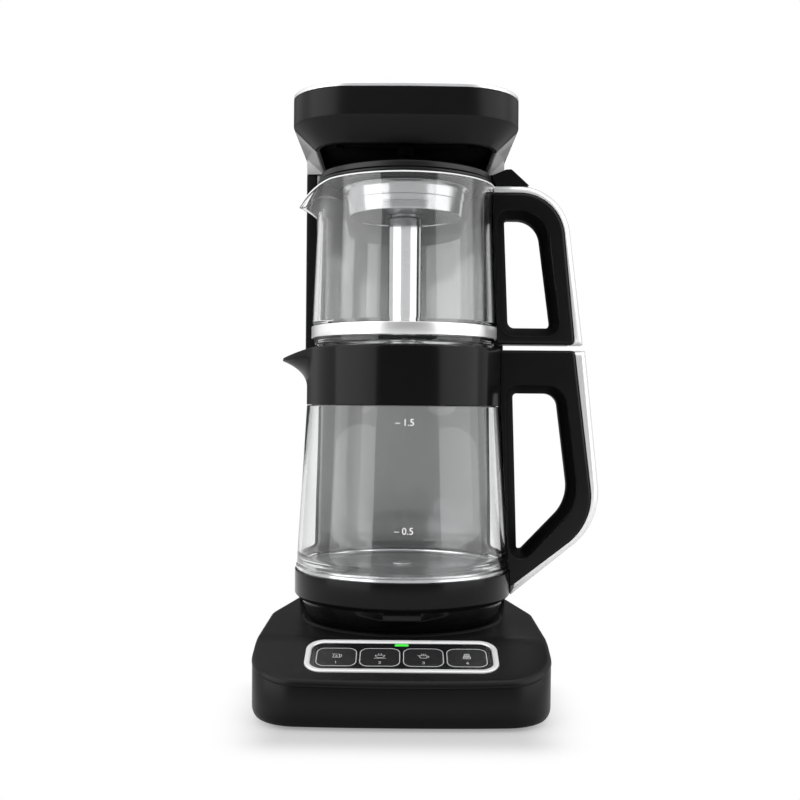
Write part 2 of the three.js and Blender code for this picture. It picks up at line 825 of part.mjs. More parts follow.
function makeHeadHose() {
  const corners = [
    [riserSide, riserBack, headHoseStart + gap],
    [riserSide, riserBack, hoseRunLevel],
    [0, riserBack / 2, hoseRunLevel],
    [0, 0, hoseRunLevel],
    [0, 0, nozzleTop + gap],
  ];
  return pipe(route(corners, hoseBend / 2), hoseRadius, hoseBore, hoseSteps);
}

function makePowerBoard() {
  const width = motorRadius * 3;
  const low = trayTop() + gap;
  const edge = -motorRadius - boardClearance;
  const body = block([edge - width, edge], [pumpFront, pumpFront + boardLength],
    low, low + boardThickness);
  const coil = block([-width, -width + motorRadius], [pumpFront + motorRadius, pumpFront + 2 * motorRadius],
    low, low + motorRadius);
  return join(body, coil);
}

// The cord gland: a stepped bush in the back wall, with the hole that the cord would use
function makeGland() {
  const bush = turned([[glandRadius / 2, 0], [glandRadius + mouldWall, 0],
    [glandRadius + mouldWall, glandStand], [glandRadius - gap, glandStand],
    [glandRadius - gap, glandStand + gap + mouldWall], [glandRadius / 2,
      glandStand + gap + mouldWall]], smallSides);
  return bush.rotate([90, 0, 0]).translate([glandPlace, baseBack + glandStand + gap, glandLevel]);
}

// The column's plan at one half width, from the wings' front edges to the flat back
function columnPlan(half, back = baseBack) {
  const corners = [[0, wingFront], [half, wingFront], [half, back, columnCorner], [0, back]];
  return mirroredOutline(corners, planSteps);
}

function well(radius, bottom, top) {
  return disc(radius, bottom, top, 0, 2 * largeSides);
}

// The column shell: it draws in to a waist beside the kettle's glass, wraps the kettle in front
// and is open behind for its cover
function makeColumnShell() {
  const low = seatLevel + gap;
  const stations = [
    [columnFootHalf, low],
    [columnFootHalf, ringBottom],
    [waistHalf, waistLow],
    [waistHalf, waistHigh],
    [columnTopHalf, columnShoulder],
    [columnTopHalf, columnTop],
  ];
  const body = skin(stations.map(([half, level]) => ringAt(columnPlan(half), () => level)));
  const front = well(wellRadius + linerWall + 2 * gap, low - overrun, columnTop + overrun);
  const cavity = block([-cavityHalf, cavityHalf], [cavityFront, baseBack + overrun], low - overrun,
    columnTop + overrun);
  const rebate = block([-rearCoverHalf - gap, rearCoverHalf + gap],
    [baseBack - rearCoverWall - gap, baseBack + overrun], low + mouldWall, columnTop + overrun);
  return cut(body, front, cavity, rebate);
}

// The grey liner of the well, bent round the kettle from wing to wing
function makeLiner() {
  const low = seatLevel + gap;
  const ring = disc(wellRadius + linerWall + gap, low, columnTop, wellRadius, 2 * largeSides);
  const edge = Math.sqrt(wellRadius ** 2 - wingFront ** 2);
  return ring.intersect(block([-2 * edge, 2 * edge], [wingFront + gap, 2 * wellRadius], low - overrun,
    columnTop + overrun));
}

// The rear cover: a flat panel with a row of air slots near its foot
function makeRearCover() {
  const low = seatLevel + 2 * gap + mouldWall;
  const panel = block([-rearCoverHalf, rearCoverHalf], [baseBack - rearCoverWall, baseBack], low,
    columnTop - gap);
  const slots = Array.from({ length: slotCount }, (_, i) => {
    const level = low + slotRise + i * slotPitch;
    return block([-slotHalf, slotHalf], [baseBack - rearCoverWall - overrun, baseBack + overrun], level,
      level + slotPitch / 2);
  });
  return cut(panel, ...slots);
}

// The head's plan: a wide rounded front and a back in line with the column
function headPlan() {
  return mirroredOutline([
    [0, headFront - headBow],
    [headHalf, headFront + headBow, headCorner],
    [headHalf, wingFront / 2],
    [headHalf, baseBack, columnCorner],
    [0, baseBack],
  ], planSteps + 2);
}

// The sloped lower band, as the inset and level of its lower and upper edges
function bandInset(level) {
  return (headBandInset * (headCrease - level)) / (headCrease - columnTop);
}

// The head housing: an upright wall, a lower band that slopes in below the crease, and a neck
// that stands on the column. It is open above for its cover and below for the underside panel.
function makeHeadHousing() {
  const plan = headPlan();
  const rings = [
    ringAt(inset(plan, headBandInset), () => columnTop),
    ringAt(inset(plan, gap), () => headCrease - gap),
    ringAt(plan, () => headCrease + gap),
    ringAt(plan, () => headTop),
    ringAt(inset(plan, headWall), () => headTop),
    ringAt(inset(plan, headWall), () => headCrease),
    ringAt(inset(plan, headWall + bandInset(undersideLevel - headWall)), () => undersideLevel - headWall),
    ringAt(inset(plan, headWall + headBandInset), () => columnTop),
  ];
  const neckTop = headCrease + headWall;
  const neck = plate(columnPlan(columnTopHalf), columnTop + gap, neckTop);
  const shell = join(cut(skin(rings, true), plate(columnPlan(columnTopHalf + overrun, baseBack + overrun),
    columnTop - overrun, headCrease - gap)), neck);
  const duct = block([-cavityHalf, cavityHalf], [cavityFront, baseBack - rearCoverWall - gap],
    columnTop - overrun, neckTop + overrun);
  const trims = [-1, 1].map((side) => makeSideTrim(side, gap));
  return cut(shell, duct, ...trims);
}

// A side trim: a thin strip let into the lower band, with a cheek turned in at the column wing
function makeSideTrim(side, extra = 0) {
  const low = columnTop + gap - extra;
  const high = headCrease - 2 * gap + extra;
  const face = (level, depth) => side * (headHalf - bandInset(level) - depth);
  const strip = outline([
    [face(low, -extra), low],
    [face(high, -extra), high],
    [face(high, trimWall + extra), high],
    [face(low, trimWall + extra), low],
  ]);
  const cheekHigh = headCrease - 3 * gap - (headBandInset - bandInset(columnTop)) + extra;
  const cheekShare = (columnTopHalf - headHalf + headBandInset) / headBandInset;
  const cheekTop = columnTop + cheekShare * (headCrease - columnTop);
  const cheek = outline([
    [face(low, 0), low],
    [side * (columnTopHalf - gap + extra), low],
    [side * (columnTopHalf - gap + extra), Math.min(cheekTop, cheekHigh)],
  ]);
  const back = wingFront - gap + extra;
  const cheekFront = wingFront - trimWall - 2 * extra;
  return join(standing(strip, trimStart - extra, back), standing(cheek, cheekFront, back));
}

// The bright rim round the head's top edge, rolled over at its outer corner
function makeHeadRim() {
  const plan = headPlan();
  const low = headTop + gap;
  const high = headTop + rimHeight;
  const rings = [
    ringAt(plan, () => low),
    ringAt(plan, () => high - rimHeight / 2),
    ringAt(inset(plan, rimHeight / 3), () => high - gap / 3),
    ringAt(inset(plan, rimBand - rimHeight / 4), () => high),
    ringAt(inset(plan, rimBand), () => high - gap),
    ringAt(inset(plan, rimBand), () => low),
  ];
  return skin(rings, true);
}

function makeHeadTop() {
  const plan = inset(headPlan(), rimBand + gap);
  const low = headTop + gap;
  const high = headTop + rimHeight;
  return skin([
    ringAt(plan, () => low),
    ringAt(plan, () => high - 3 * gap),
    ringAt(inset(plan, rimHeight / 3), () => high - gap),
    ringAt(inset(plan, headCorner / 2), () => high + gap),
  ]);
}

// The underside panel, let up into the head: its edge follows the slope of the band, and it has
// holes for the nozzle and its two screws
function makeUnderside() {
  const low = undersideLevel;
  const high = undersideLevel + undersideWall;
  const drawn = (level) => inset(headPlan(), headWall + 2 * gap + bandInset(level));
  const body = skin([ringAt(drawn(low), () => low), ringAt(drawn(high), () => high)]);
  const room = block([-2 * headHalf, 2 * headHalf], [2 * headFront, wingFront - gap], low - overrun,
    high + overrun);
  const screws = [-1, 1].map((side) => {
    return disc(screwRadius / 2 + gap, low - overrun, high + overrun, 0, smallSides)
      .translate([side * screwSpread, screwPlace, 0]);
  });
  const hole = disc(nozzleRadius + gap, low - overrun, high + overrun, 0, smallSides);
  return cut(body.intersect(room), hole, ...screws);
}

function makeUndersideScrew(side) {
  const low = undersideLevel - gap - screwHead;
  const slot = block([-screwRadius * 2, screwRadius * 2], [-gap, gap], low - overrun, low + screwHead / 2);
  const body = turned([[0, low], [screwRadius - gap, low], [screwRadius, low + gap],
    [screwRadius, low + screwHead], [screwRadius / 2, low + screwHead],
    [screwRadius / 2, undersideLevel + 2 * undersideWall],
    [0, undersideLevel + 2 * undersideWall]], smallSides);
  return cut(body, slot).translate([side * screwSpread, screwPlace, 0]);
}

// The nozzle: a flanged spout that drops the water on to the lid's funnel
function makeNozzle() {
  const flange = undersideLevel + undersideWall + gap;
  return turned([
    [hoseBore, nozzleTip],
    [nozzleRadius - 2 * gap, nozzleTip],
    [nozzleRadius, nozzleTip + gap],
    [nozzleRadius, flange],
    [nozzleFlange, flange],
    [nozzleFlange, flange + mouldWall / 2],
    [nozzleRadius, flange + mouldWall / 2],
    [nozzleRadius, nozzleTop],
    [hoseBore, nozzleTop],
  ], smallSides);
}

// The kettle

// The lower ring: a black band with a chamfered foot that carries the glass and the handle's foot
function makeKettleRing() {
  const inner = footTopRadius + gap;
  return turned([
    [inner, ringBottom],
    [ringRadius - ringChamfer, ringBottom],
    [ringRadius, ringBottom + ringChamfer],
    [ringRadius, ringTop - gap],
    [ringRadius - gap, ringTop],
    [inner, ringTop],
  ]);
}

// The foot: a cup that narrows to the seat, with a lug in front and a socket hole in its floor
function makeKettleFoot() {
  const low = seatLevel + seatStand + gap;
  const top = floorLevel - floorWall - gap;
  const cup = turned([
    [socketRadius + gap, low],
    [footBottomRadius, low],
    [footTopRadius, ringBottom - ringChamfer],
    [footTopRadius, top],
    [footTopRadius - footWall, top],
    [footTopRadius - footWall, ringBottom - ringChamfer],
    [footBottomRadius - footWall, low + footWall],
    [socketRadius + gap, low + footWall],
  ]);
  const lug = block([-lugWidth / 2, lugWidth / 2],
    [-footTopRadius - lugStand, -footTopRadius + footWall / 2], ringBottom - gap - lugHeight, ringBottom - gap);
  return join(cup, lug);
}

// The steel floor plate, dished a little, with the outlet in its middle
function makeFloorPlate() {
  const low = floorLevel - floorWall;
  const hole = poppetRadius + gap;
  return turned([
    [hole, low - floorDish],
    [floorRadius / 3, low - floorDish],
    [floorRadius, low],
    [floorRadius, floorLevel],
    [floorRadius / 3, floorLevel - floorDish],
    [hole, floorLevel - floorDish],
  ]);
}

// The heating element: an open loop of tube pressed against the floor plate
function makeElement() {
  const level = floorLevel - floorWall - floorDish / 2 - elementTube - gap;
  const arc = new THREE.CatmullRomCurve3(Array.from({ length: elementPoints }, (_, i) => {
    const angle = (elementGap + ((360 - 2 * elementGap) * i) / (elementPoints - 1)) * degrees;
    return new THREE.Vector3(elementRadius * Math.sin(angle), -elementRadius * Math.cos(angle), level);
  }));
  return pipe(arc, elementTube, 0, middleSides);
}

// The kettle's socket: a sleeve over the connector post, closed above but for the outlet
function makeSocket() {
  const low = seatLevel + seatStand + gap;
  const top = low + socketRise + footWall;
  const inner = connectorRadius + 2 * gap;
  return turned([
    [inner, low],
    [socketRadius, low],
    [socketRadius, low + footWall + gap],
    [socketRadius + mouldWall, low + footWall + gap],
    [socketRadius + mouldWall, top],
    [poppetRadius + gap, top],
    [poppetRadius + gap, top - footWall],
    [inner, top - footWall],
  ], middleSides);
}

// The outlet poppet: a stem with a cap that the coupling lifts off the floor plate
function makePoppet() {
  const low = seatLevel + couplingRise + gap;
  const top = floorLevel - floorDish + poppetLift;
  return turned([
    [0, low],
    [poppetRadius - 2 * gap, low],
    [poppetRadius - gap, low + gap],
    [poppetRadius - gap, top],
    [poppetCap, top],
    [poppetCap, top + floorWall - gap],
    [poppetCap - gap, top + floorWall],
    [0, top + floorWall],
  ], smallSides);
}

// The kettle's glass: a wide tube, thick at its foot, that draws in towards the collar
function makeKettleGlass() {
  const low = ringTop + gap;
  const top = collarBottom - gap;
  const middle = (kettleGlassFoot + kettleGlassNeck) / 2;
  return turned([
    [floorRadius + gap, low],
    [kettleGlassFoot - 2 * gap, low],
    [kettleGlassFoot, low + glassBead / 3],
    [kettleGlassFoot, low + glassBead],
    [middle, (low + top) / 2],
    [kettleGlassNeck, top],
    [kettleGlassNeck - glassWall, top],
    [middle - glassWall, (low + top) / 2],
    [kettleGlassFoot - glassWall, low + glassBead],
    [floorRadius + gap, low + glassBead / 3],
  ]);
}

// Directions round a jug, close together where its lip is, which points to the left
function jugAngles(halfAngle, steps) {
  const lip = Array.from({ length: 2 * steps + 1 }, (_, i) => 180 + (halfAngle * (i - steps)) / steps);
  const rest = Math.round((largeSides * (180 - halfAngle)) / 180);
  const step = (360 - 2 * halfAngle) / rest;
  const round = Array.from({ length: rest - 1 }, (_, i) => 180 + halfAngle + (i + 1) * step);
  return [...lip, ...round];
}

// How far the lip is drawn out in one direction, from 0 beside it to 1 at its tip
function lipShare(angle, halfAngle, sharpness) {
  const away = Math.min(Math.abs(angle - 180) / halfAngle, 1);
  return (1 - away) ** sharpness;
}

function jugRing(angles, radius, level) {
  return angles.map((angle) => {
    const along = angle * degrees;
    return new THREE.Vector3(radius(angle) * Math.cos(along), radius(angle) * Math.sin(along), level(angle));
  });
}

// The collar: a black ring whose beak swells out below the rim and droops at its tip.
// Inside, a ledge with a gap behind the beak carries the teapot's seal.
function makeCollar() {
  const angles = jugAngles(beakHalfAngle, beakSteps);
  const share = (angle) => lipShare(angle, beakHalfAngle, beakSharpness);
  const climb = (level) => Math.min(Math.max((level - beakBottom) / (beakTip - beakBottom), 0), 1) ** 2;
  const droop = collarTop - beakTip;
  const ring = (level, drawn, droopShare = 0) => jugRing(angles,
    (angle) => collarRadius - drawn + share(angle) * beakReach * climb(level),
    (angle) => level - droopShare * share(angle) * droop);
  const middles = beakRiseShares.map((part) => THREE.MathUtils.lerp(beakBottom, beakTip, part));
  const outer = [
    ring(collarBottom, 0),
    ring(beakBottom, 0),
    ...middles.map((level) => ring(level, 0)),
    ring(beakTip, 0, beakDroopShare),
    ring(collarTop - gap, 0, 1),
  ];
  const inner = [
    ring(collarTop, gap, 1),
    ring(collarTop, collarWall, 1),
    ring(beakTip, collarWall, beakDroopShare),
    ...middles.reverse().map((level) => ring(level, collarWall)),
    ring(beakBottom, collarWall),
    ring(collarBottom, collarWall),
  ];
  const ledge = turned([
    [ledgeInner, ledgeTop - ledgeWall],
    [collarRadius - collarWall / 2, ledgeTop - 3 * ledgeWall],
    [collarRadius - collarWall / 2, ledgeTop],
    [ledgeInner, ledgeTop],
  ]);
  const notchHalf = ledgeInner * Math.sin(beakHalfAngle * degrees);
  const notch = block([-2 * collarRadius, -ledgeInner / 2], [-notchHalf, notchHalf],
    collarBottom, collarTop);
  return join(skin([...outer, ...inner], true), cut(ledge, notch));
}

// A handle seen from the front: rounded along its edges, with a chamfer round the finger opening
function makeHandle(edge, window) {
  const half = handleThickness / 2;
  const outer = [
    [handleEdge, -half],
    [handleEdge / 4, -half + handleEdge / 2],
    [0, -half + handleEdge],
    [0, half - handleEdge],
    [handleEdge / 4, half - handleEdge / 2],
    [handleEdge, half],
  ];
  const body = frontSkin(outer.map(([drawn, y]) => [inset(edge, drawn), y]));
  const flare = half - windowChamfer;
  const hole = frontSkin([
    [inset(window, -windowChamfer - overrun), -half - overrun],
    [window, -flare],
    [window, flare],
    [inset(window, -windowChamfer - overrun), half + overrun],
  ]);
  return cut(body, hole);
}

// A capped skin over outlines drawn in the front view, each at its own place along Y.
// The caps are cut into triangles from the outline itself.
function frontSkin(layers) {
  const count = layers[0][0].length;
  const corners = layers.flatMap(([points, y]) => points.flatMap((point) => [point.x, y, point.y]));
  const faces = [];
  for (let r = 0; r + 1 < layers.length; r += 1) {
    for (let i = 0; i < count; i += 1) {
      const j = (i + 1) % count;
      const low = r * count;
      const high = low + count;
      faces.push(low + i, high + j, low + j, low + i, high + i, high + j);
    }
  }
  const cap = (points, start, flip) => {
    THREE.ShapeUtils.triangulateShape(points, []).forEach(([a, b, c]) => {
      faces.push(...(flip ? [start + a, start + c, start + b] : [start + a, start + b, start + c]));
    });
  };
  cap(layers[0][0], 0, false);
  cap(layers[layers.length - 1][0], (layers.length - 1) * count, true);
  const geometry = new THREE.BufferGeometry();
  geometry.setAttribute('position', new THREE.Float32BufferAttribute(corners, 3));
  geometry.setIndex(faces);
  return solid(geometry);
}

// Corners given as shares of a handle's reach and height, with their radii in millimetres
function handleOutline(cornerShares, inner, reach, foot, top, steps) {
  return outline(cornerShares.map(([across, up, radius]) => {
    return [inner + across * (reach - inner), foot + up * (top - foot), radius];
  }), steps);
}

// What the kettle's handle hugs: the outside of the ring, the glass and the collar
function kettleOutside() {
  return turned([
    [0, 0],
    [ringRadius + gap, 0],
    [ringRadius + gap, ringTop + gap],
    [kettleGlassFoot + gap, ringTop + gap],
    [kettleGlassFoot + gap, ringTop + gap + glassBead],
    [collarRadius + gap, collarBottom],
    [collarRadius + gap, 2 * collarTop],
    [0, 2 * collarTop],
  ], 2 * largeSides);
}

function kettleHandleEdge() {
  const cornerShares = [[0, 0], [1, 0.306, kettleHandleBend], [0.785, 1, 1.5 * handleEdge], [0, 1]];
  return handleOutline(cornerShares, kettleHandleInner, kettleHandleReach, kettleHandleFoot,
    kettleHandleTop, planSteps);
}

function makeKettleHandle() {
  const windowShares = [[0.218, 0.168, 1.4 * handleEdge], [0.756, 0.391, kettleWindowBend],
    [0.618, 0.827, 5 * handleEdge], [0.164, 0.827, 1.5 * handleEdge]];
  const window = handleOutline(windowShares, kettleHandleInner, kettleHandleReach, kettleHandleFoot,
    kettleHandleTop, 5);
  return cut(makeHandle(kettleHandleEdge(), window), kettleOutside());
}

// A handle strip: a bright band outside the handle, cut to lie against it
function makeStrip(points, handleEdgePoints) {
  const half = stripThickness / 2;
  const front = Array.from({ length: stripSteps + 1 }, (_, i) => {
    const turn = (i / stripSteps) * 90 * degrees;
    return [inset(points, stripRound * (1 - Math.sin(turn))), stripRound * (1 - Math.cos(turn)) - half];
  });
  const back = front.map(([ring, place]) => [ring, -place]).reverse();
  const strip = frontSkin([...front, ...back]);
  return cut(strip, standing(inset(handleEdgePoints, -gap), -handleThickness, handleThickness));
}

function makeKettleStrip() {
  const cornerShares = [[0.13, 0], [1.08, 0.306, kettleStripBend], [0.899, 1], [0.6, 1]];
  const strip = handleOutline(cornerShares, kettleHandleInner, kettleHandleReach, kettleHandleFoot,
    kettleHandleTop, planSteps);
  return cut(makeStrip(strip, kettleHandleEdge()), kettleOutside());
}

// The teapot

// The teapot's glass: a cup that narrows to its rim, with a rim drawn out and down into a pouring lip
function makePotGlass() {
  const angles = jugAngles(lipHalfAngle, lipSteps);
  const share = (angle) => lipShare(angle, lipHalfAngle, lipSharpness);
  const ring = (radius, level, reachShare = 0, droopShare = 0) => jugRing(angles,
    (angle) => radius + share(angle) * reachShare * lipReach,
    (angle) => level - share(angle) * droopShare * lipDroop);
  const step = bandTop + gap;
  const belowBand = bandRadius - sheetWall - 3 * gap;
  const lipLow = THREE.MathUtils.lerp(potNeckLevel, potRimLevel, lipReachShare);
  const inner = (radius) => radius - potWall;
  const rings = [
    ring(riserRadius + gap, potBottom),
    ring(potSeatRadius, potBottom),
    ring(belowBand, potBottom + potFloorWall),
    ring(belowBand, step),
    ring(potGlassFoot, potBodyLevel),
    ring(potGlassNeck, potNeckLevel, 0, neckDroopShare),
    ring(potGlassNeck, lipLow, lipReachShare, lipDroopShare),
    ring(potRimRadius, potRimLevel - gap, 1, 1),
    ring(inner(potRimRadius), potRimLevel, 1, 1),
    ring(inner(potGlassNeck), lipLow, lipReachShare, lipDroopShare),
    ring(inner(potGlassNeck), potNeckLevel, 0, neckDroopShare),
    ring(inner(potGlassFoot) - gap, potBodyLevel),
    ring(inner(belowBand) - gap, potBottom + 2 * potFloorWall),
    ring(potSeatRadius - potWall, potBottom + potFloorWall),
    ring(riserRadius + gap, potBottom + potFloorWall),
  ];
  return skin(rings, true);
}

// The steel band round the teapot's foot
function makePotBand() {
  const inner = bandRadius - sheetWall;
  return turned([
    [inner, bandBottom],
    [bandRadius - gap, bandBottom],
    [bandRadius, bandBottom + gap],
    [bandRadius, bandTop - gap],
    [bandRadius - gap, bandTop],
    [inner, bandTop],
  ], largeSides);
}

function makePotSeal() {
  const low = potBottom - gap - sealHeight;
  return turned([
    [potSeatRadius - mouldWall, low],
    [collarRadius - collarWall - 2 * gap, low],
    [collarRadius - collarWall - 2 * gap, low + mouldWall],
    [potSeatRadius, low + mouldWall + gap],
    [potSeatRadius - gap, low + sealHeight],
    [potSeatRadius - mouldWall, low + sealHeight],
  ]);
}

// The steel riser: a tube with a flange on the teapot's floor and a neck that carries the infuser
function makeRiser() {
  const low = potBottom + potFloorWall + gap;
  const shoulder = cupBottom - gap - sheetWall;
  const bore = riserNeck - sheetWall;
  return turned([
    [bore, potBottom],
    [riserRadius, potBottom],
    [riserRadius, low],
    [riserFlange, low],
    [riserFlange, low + sheetWall],
    [riserRadius, low + sheetWall + mouldWall],
    [riserRadius, shoulder],
    [riserNeck, shoulder + sheetWall],
    [riserNeck, shoulder + riserNeckRise],
    [bore, shoulder + riserNeckRise],
  ], largeSides / 2);
}

// The infuser: a stepped steel cup with a perforated floor and a sleeve that drops over the riser
function makeInfuser() {
  const sleeve = riserNeck + gap;
  const hub = sleeve + sheetWall;
  const wall = sheetWall;
  const cup = turned([
    [sleeve, cupBottom],
    [cupRadius - 3 * wall, cupBottom],
    [cupRadius, cupBottom + 2 * wall],
    [cupRadius + wall, cupStep],
    [cupRadius + wall + cupStepOut, cupStep + wall],
    [cupRadius + 2 * wall + cupStepOut, cupTop - wall],
    [cupLip, cupTop - wall],
    [cupLip, cupTop],
    [cupRadius + wall + cupStepOut, cupTop],
    [cupRadius + cupStepOut, cupStep + 2 * wall],
    [cupRadius, cupStep + wall],
    [cupRadius - 2 * wall, cupBottom + wall],
    [hub, cupBottom + wall],
    [hub, cupBottom + hubHeight],
    [sleeve, cupBottom + hubHeight],
  ]);
  const holes = [];
  holeRows.forEach(([share, count]) => {
    for (let i = 0; i < count; i += 1) {
      const hole = disc(holeRadius, cupBottom - overrun, cupBottom + wall + overrun, 0, 6);
      holes.push(hole.translate([hub + share * (cupRadius - hub), 0, 0]).rotate([0, 0, (360 * i) / count]));
    }
  });
  return cut(cup, ...holes);
}

// What the teapot's handle hugs
function potOutside() {
  return turned([
    [0, 0],
    [bandRadius + gap, 0],
    [bandRadius + gap, bandTop + gap],
    [potGlassNeck + gap, potNeckLevel],
    [potRimRadius + gap, potRimLevel],
    [potRimRadius + gap, 2 * potRimLevel],
    [0, 2 * potRimLevel],
  ], 2 * largeSides);
}

function potHandleEdge() {
  const cornerShares = [[0, 0], [1, 0, 1.5 * handleEdge], [0.822, 1, potHandleBend], [0, 1]];
  return handleOutline(cornerShares, potHandleInner, potHandleReach, potHandleFoot, potHandleTop,
    planSteps + 1);
}

function makePotHandle() {
  const windowShares = [[0.224, 0.109, 2.5 * handleEdge], [0.736, 0.109, 1.8 * handleEdge],
    [0.568, 0.833, potWindowBend], [0.17, 0.833, 1.5 * handleEdge]];
  const window = handleOutline(windowShares, potHandleInner, potHandleReach, potHandleFoot, potHandleTop,
    planSteps);
  return cut(makeHandle(potHandleEdge(), window), potOutside());
}

function makePotStrip() {
  const cornerShares = [[0.5, 0], [1.101, 0], [0.877, 1.051, potStripBend], [0, 1.051], [0, 0.5]];
  const strip = handleOutline(cornerShares, potHandleInner, potHandleReach, potHandleFoot, potHandleTop,
    planSteps + 1);
  return cut(makeStrip(strip, potHandleEdge()), potOutside());
}

// The lid

// The lid: a dished disc over a dark groove, a flange on the rim and a plug in the mouth,
// with a funnel in the middle that takes the water from the nozzle
function makeLid() {
  const flange = potRimLevel + gap;
  const groove = flange + lidFlangeWall;
  const plugFoot = potRimLevel - lidPlugDepth;
  const underside = groove - gap;
  const bore = lidFunnelBore;
  return turned([
    [bore, plugFoot],
    [bore + mouldWall, plugFoot],
    [bore + mouldWall, flange - mouldWall / 2],
    [lidFunnel, underside],
    [lidPlug - 2 * mouldWall, underside],
    [lidPlug, plugFoot + mouldWall / 2],
    [lidPlug, flange],
    [lidFlange, flange],
    [lidFlange, groove - gap],
    [lidGroove, groove],
    [lidGroove, groove + gap],
    [lidRadius, groove + 3 * gap],
    [lidRadius, lidTop],
    [lidRadius - 3 * mouldWall, lidTop],
    [lidRadius - 5 * mouldWall, lidTop - lidDish],
    [lidFunnel, lidTop - lidDish],
    [bore, lidTop - 2 * lidDish],
  ]);
}

function makeLidSeal() {
  const low = potRimLevel - lidPlugDepth + mouldWall;
  return turned([
    [lidPlug + gap, low],
    [lidPlug + gap + sheetWall, low + sheetWall / 2],
    [lidPlug + gap, low + sheetWall],
  ]);
}

// The thumb tab: a fin that hooks over the lid's edge and rises above the handle
function makeTab() {
  const reach = tabReach - lidRadius;
  const foot = lidTop + gap;
  const rise = tabPeak - foot;
  const fin = outline([
    [lidRadius - reach / 2.2, foot],
    [lidRadius + 2 * gap, foot],
    [lidRadius + 2 * gap, lidTop - mouldWall - gap],
    [lidFlange + sheetWall, tabFoot],
    [tabReach, tabFoot],
    [lidRadius + 0.75 * reach, foot, reach / 8],
    [lidRadius + 0.53 * reach, tabPeak, reach / 16],
    [lidRadius + 0.38 * reach, tabPeak - gap, reach / 16],
    [lidRadius + 2 * gap, foot + rise / 6],
    [lidRadius - reach / 2.2, foot + rise / 8],
  ]);
  const half = tabThickness / 2;
  return frontSkin([
    [inset(fin, gap), -half],
    [fin, -half + gap],
    [fin, half - gap],
    [inset(fin, gap), half],
  ]);
}

// The machine, put together from the floor up
footPlaces().forEach(([x, y], i) => add(`foot_${i + 1}`, makeFoot().translate([x, y, 0]), 'rubber'));
add('base_tray', makeTray(), 'black');
add('base_top_cover', makeTopCover(), 'black');
add('panel_bezel', makeBezel(), 'chrome');
add('panel_plate', makePanelPlate(), 'gloss');
add('status_lamp', makeLamp(), 'lamp');
for (let i = 0; i < keyCount; i += 1) add(`key_${i + 1}`, makeKey(i), 'gloss');
add('key_mat', makeKeyMat(), 'clear');
add('control_board', makeControlBoard(), 'board');
add('kettle_seat_ring', makeSeatRing(), 'black');
add('power_connector', makeConnector(), 'black');
add('water_coupling', makeCoupling(), 'clear');
add('inlet_hose', makeInletHose(), 'clear');
add('pump_housing', makePumpHousing(), 'dark');
add('pump_rotor', makeRotor(), 'steel');
add('pump_motor', makeMotor(), 'steel');
add('pump_outlet_pipe', makePumpHose(), 'clear');
add('power_board', makePowerBoard(), 'board');
add('cord_gland', makeGland(), 'rubber');
add('column_shell', makeColumnShell(), 'black');
add('column_liner', makeLiner(), 'silver');
add('column_rear_cover', makeRearCover(), 'black');
add('riser_pipe', makeRiserPipe(), 'clear');
add('head_housing', makeHeadHousing(), 'black');
add('head_rim', makeHeadRim(), 'chrome');
add('head_top_cover', makeHeadTop(), 'black');
add('head_side_trim_left', makeSideTrim(-1), 'silver');
add('head_side_trim_right', makeSideTrim(1), 'silver');
add('head_underside', makeUnderside(), 'black');
add('underside_screw_left', makeUndersideScrew(-1), 'steel');
add('underside_screw_right', makeUndersideScrew(1), 'steel');
add('nozzle', makeNozzle(), 'dark');
add('head_hose', makeHeadHose(), 'clear');
add('kettle_ring', makeKettleRing(), 'black');
add('kettle_foot', makeKettleFoot(), 'black');
add('kettle_floor_plate', makeFloorPlate(), 'steel');
add('heating_element', makeElement(), 'steel');
add('kettle_socket', makeSocket(), 'dark');
add('outlet_poppet', makePoppet(), 'steel');
add('kettle_glass', makeKettleGlass(), 'glass');
add('kettle_collar', makeCollar(), 'black');
add('kettle_handle', makeKettleHandle(), 'black');
add('kettle_handle_strip', makeKettleStrip(), 'chrome');
add('teapot_seal', makePotSeal(), 'rubber');
add('teapot_glass', makePotGlass(), 'glass');
add('teapot_band', makePotBand(), 'chrome');
add('riser_tube', makeRiser(), 'steel');
add('infuser_cup', makeInfuser(), 'steel');
add('teapot_handle', makePotHandle(), 'black');
add('teapot_handle_strip', makePotStrip(), 'chrome');
add('lid', makeLid(), 'dark');
add('lid_seal', makeLidSeal(), 'rubber');
add('lid_thumb_tab', makeTab(), 'black');

// The origin is under the middle of the whole machine, at the level of the floor
const whole = new THREE.Box3().setFromObject(machine);
const middle = whole.getCenter(new THREE.Vector3());
machine.position.set(-middle.x, -middle.y, -whole.min.z);

export default machine;
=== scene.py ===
# An automatic tea maker: a glass kettle on a wedge base, a glass teapot stacked on the kettle's collar, and a
# column behind them that carries the head, whose nozzle pours through the teapot's lid. The studio's lengths
# are in metres, and the pieces are drawn in millimetres.
import json
import math

import bmesh
import bpy
from mathutils import Matrix, Vector


